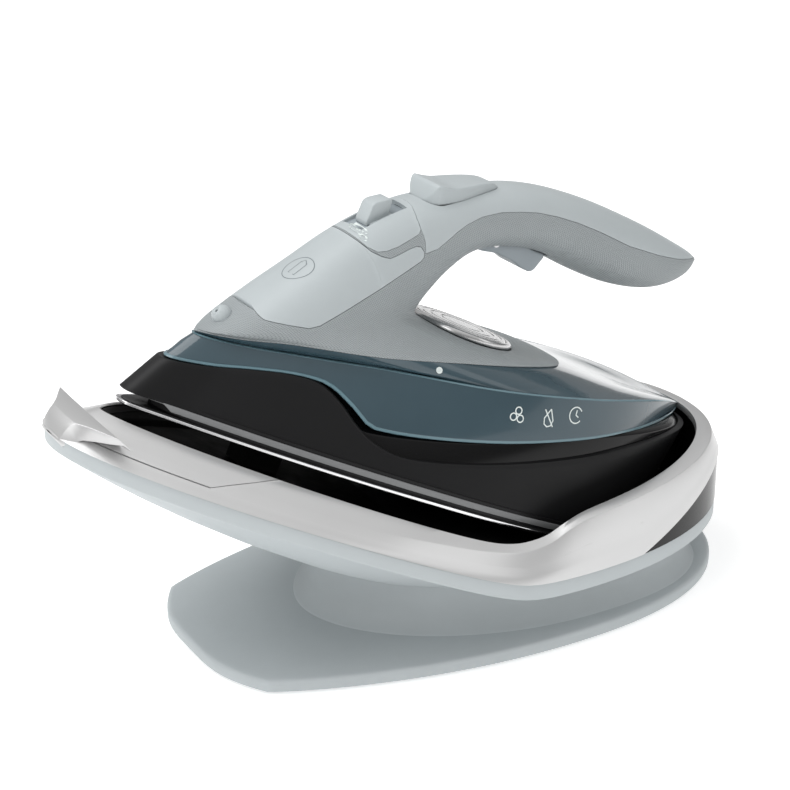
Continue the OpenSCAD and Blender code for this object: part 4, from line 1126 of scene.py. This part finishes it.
def printed(name, strokes, on, mat, body, wide=0.45):
    """Strokes, lists of (s, t), drawn as thin ribbons on a skin."""
    bm = bmesh.new()
    for stroke in strokes:
        pts = [Vector(q) for q in stroke]
        left, right = [], []
        for i, q in enumerate(pts):
            d = pts[min(i + 1, len(pts) - 1)] - pts[max(i - 1, 0)]
            n = Vector((-d.y, d.x)).normalized() * wide / 2
            left.append(bm.verts.new(iron_place(*on(*(q + n)))))
            right.append(bm.verts.new(iron_place(*on(*(q - n)))))
        for i in range(len(pts) - 1):
            bm.faces.new([left[i], left[i + 1], right[i + 1], right[i]])
    me = bpy.data.meshes.new(name)
    bm.normal_update()
    for f in bm.faces:
        if f.normal.y > 0:
            f.normal_flip()
    bm.to_mesh(me)
    bm.free()
    finish_object(name, me, mat, body, 60)


def ring_mark(s, t, r, n=40, a=0.0, b=360.0):
    return [(s + r * math.cos(math.radians(mix(a, b, i / n))), t + r * math.sin(math.radians(mix(a, b, i / n))))
            for i in range(n + 1)]


def front_point(p, y):
    """Point of the lid's upper skin, p mm up from section 3 and y to the side."""
    i = 3 + p / 19.2
    hw = section(i)[2]
    v = (abs(y) / hw) ** (1 / 0.82)
    q = on_handle(i, math.copysign(math.asin(clamp(v)), y), -0.05)
    return tuple(q)


jug = [ring_mark(0, -4.5, 6.6), [(-3.6, -6.6), (3.4, -6.2), (3.4, -2.4), (-3.6, -2.8), (-3.6, -6.6)],
       [(3.4, -6.2), (5.0, -3.6), (3.4, -2.4)]]
printed("lid_fill_mark", jug, front_point, M["dark_mark"], "lid", 0.35)
steam = [ring_mark(s, t, 0.9, 14) for s, t in ((72.2, 93.4), (74.2, 94.2), (73.6, 91.6))]
printed("panel_steam_mark", steam, side_point, M["light_mark"], "iron", 0.6)
dot = [ring_mark(113, 52.4, 0.9, 16), ring_mark(113, 52.4, 0.4, 12)]
printed("tank_level_mark", dot, tank_point, M["light_mark"], "iron", 0.9)
marks = [ring_mark(152, 47, 1.5, 16), ring_mark(150.3, 44, 1.5, 16), ring_mark(153.7, 44, 1.5, 16),
         [(167.5, 51.6), (165.2, 47.2), (165.8, 44.8), (167.5, 44), (169.2, 44.8), (169.8, 47.2), (167.5, 51.6)],
         [(164.6, 50.8), (170.4, 44.6)], ring_mark(181, 52, 3.4, 30, 40, 330), [(181, 52), (181, 54.2)],
         [(181, 52), (182.6, 51.4)]]
printed("tank_function_marks", marks, tank_point, M["light_mark"], "iron", 0.55)

# ---------------------------------------------------------------- floor, light, camera
bm = bmesh.new()
bmesh.ops.create_grid(bm, x_segments=2, y_segments=2, size=6.0)
me = bpy.data.meshes.new("floor")
bm.to_mesh(me)
bm.free()
floor = bpy.data.objects.new("floor", me)
scene.collection.objects.link(floor)
floor.location = (0, 0, -0.00005)
mat, nodes, links, bsdf = new_material("floor_paper")
bsdf.inputs["Base Color"].default_value = (0.88, 0.88, 0.88, 1)
bsdf.inputs["Roughness"].default_value = 0.9
bsdf.inputs["Specular IOR Level"].default_value = 0.0
bsdf.inputs["Emission Color"].default_value = (1, 1, 1, 1)
bsdf.inputs["Emission Strength"].default_value = 0.42
me.materials.append(mat)

world = bpy.data.worlds.new("studio")
scene.world = world
world.use_nodes = True
wn, wl = world.node_tree.nodes, world.node_tree.links
wn["Background"].inputs["Color"].default_value = (1, 1, 1, 1)
sky = wn.new("ShaderNodeTexCoord")
split = wn.new("ShaderNodeSeparateXYZ")
wl.new(sky.outputs["Generated"], split.inputs["Vector"])
lift = wn.new("ShaderNodeMapRange")
lift.inputs["From Min"].default_value = 0.0
lift.inputs["From Max"].default_value = 0.9
lift.inputs["To Min"].default_value = 0.26
lift.inputs["To Max"].default_value = 0.86
wl.new(split.outputs["Z"], lift.inputs["Value"])
wl.new(lift.outputs["Result"], wn["Background"].inputs["Strength"])


def area(name, place, target, size, power, size_y=None):
    light = bpy.data.lights.new(name, "AREA")
    light.shape = "RECTANGLE"
    light.size, light.size_y = size, size_y or size
    light.energy = power
    ob = bpy.data.objects.new(name, light)
    scene.collection.objects.link(ob)
    ob.location = place
    ob.rotation_mode = "QUATERNION"
    ob.rotation_quaternion = (Vector(target) - Vector(place)).to_track_quat("-Z", "Y")
    return ob


area("key", (-0.5, 0.25, 1.1), (0, 0, 0.1), 0.9, 6.5)
area("left", (-1.1, -0.5, 0.7), (0, 0, 0.1), 0.7, 2.6)
area("right", (0.9, -0.9, 0.6), (0.0, 0, 0.1), 0.6, 1.0)

cam = bpy.data.cameras.new("camera")
cam.lens, cam.sensor_width = 91.14, 36
camera = bpy.data.objects.new("camera", cam)
scene.collection.objects.link(camera)
camera.location = (-0.4261, -0.6893, 0.4274)
camera.rotation_mode = "QUATERNION"
camera.rotation_quaternion = (Vector((-0.049, -0.0362, 0.115)) - camera.location).to_track_quat("-Z", "Y")
cam.clip_start, cam.clip_end = 0.01, 50
scene.camera = camera
scene.view_settings.view_transform = "Standard"
scene.view_settings.look = "None"
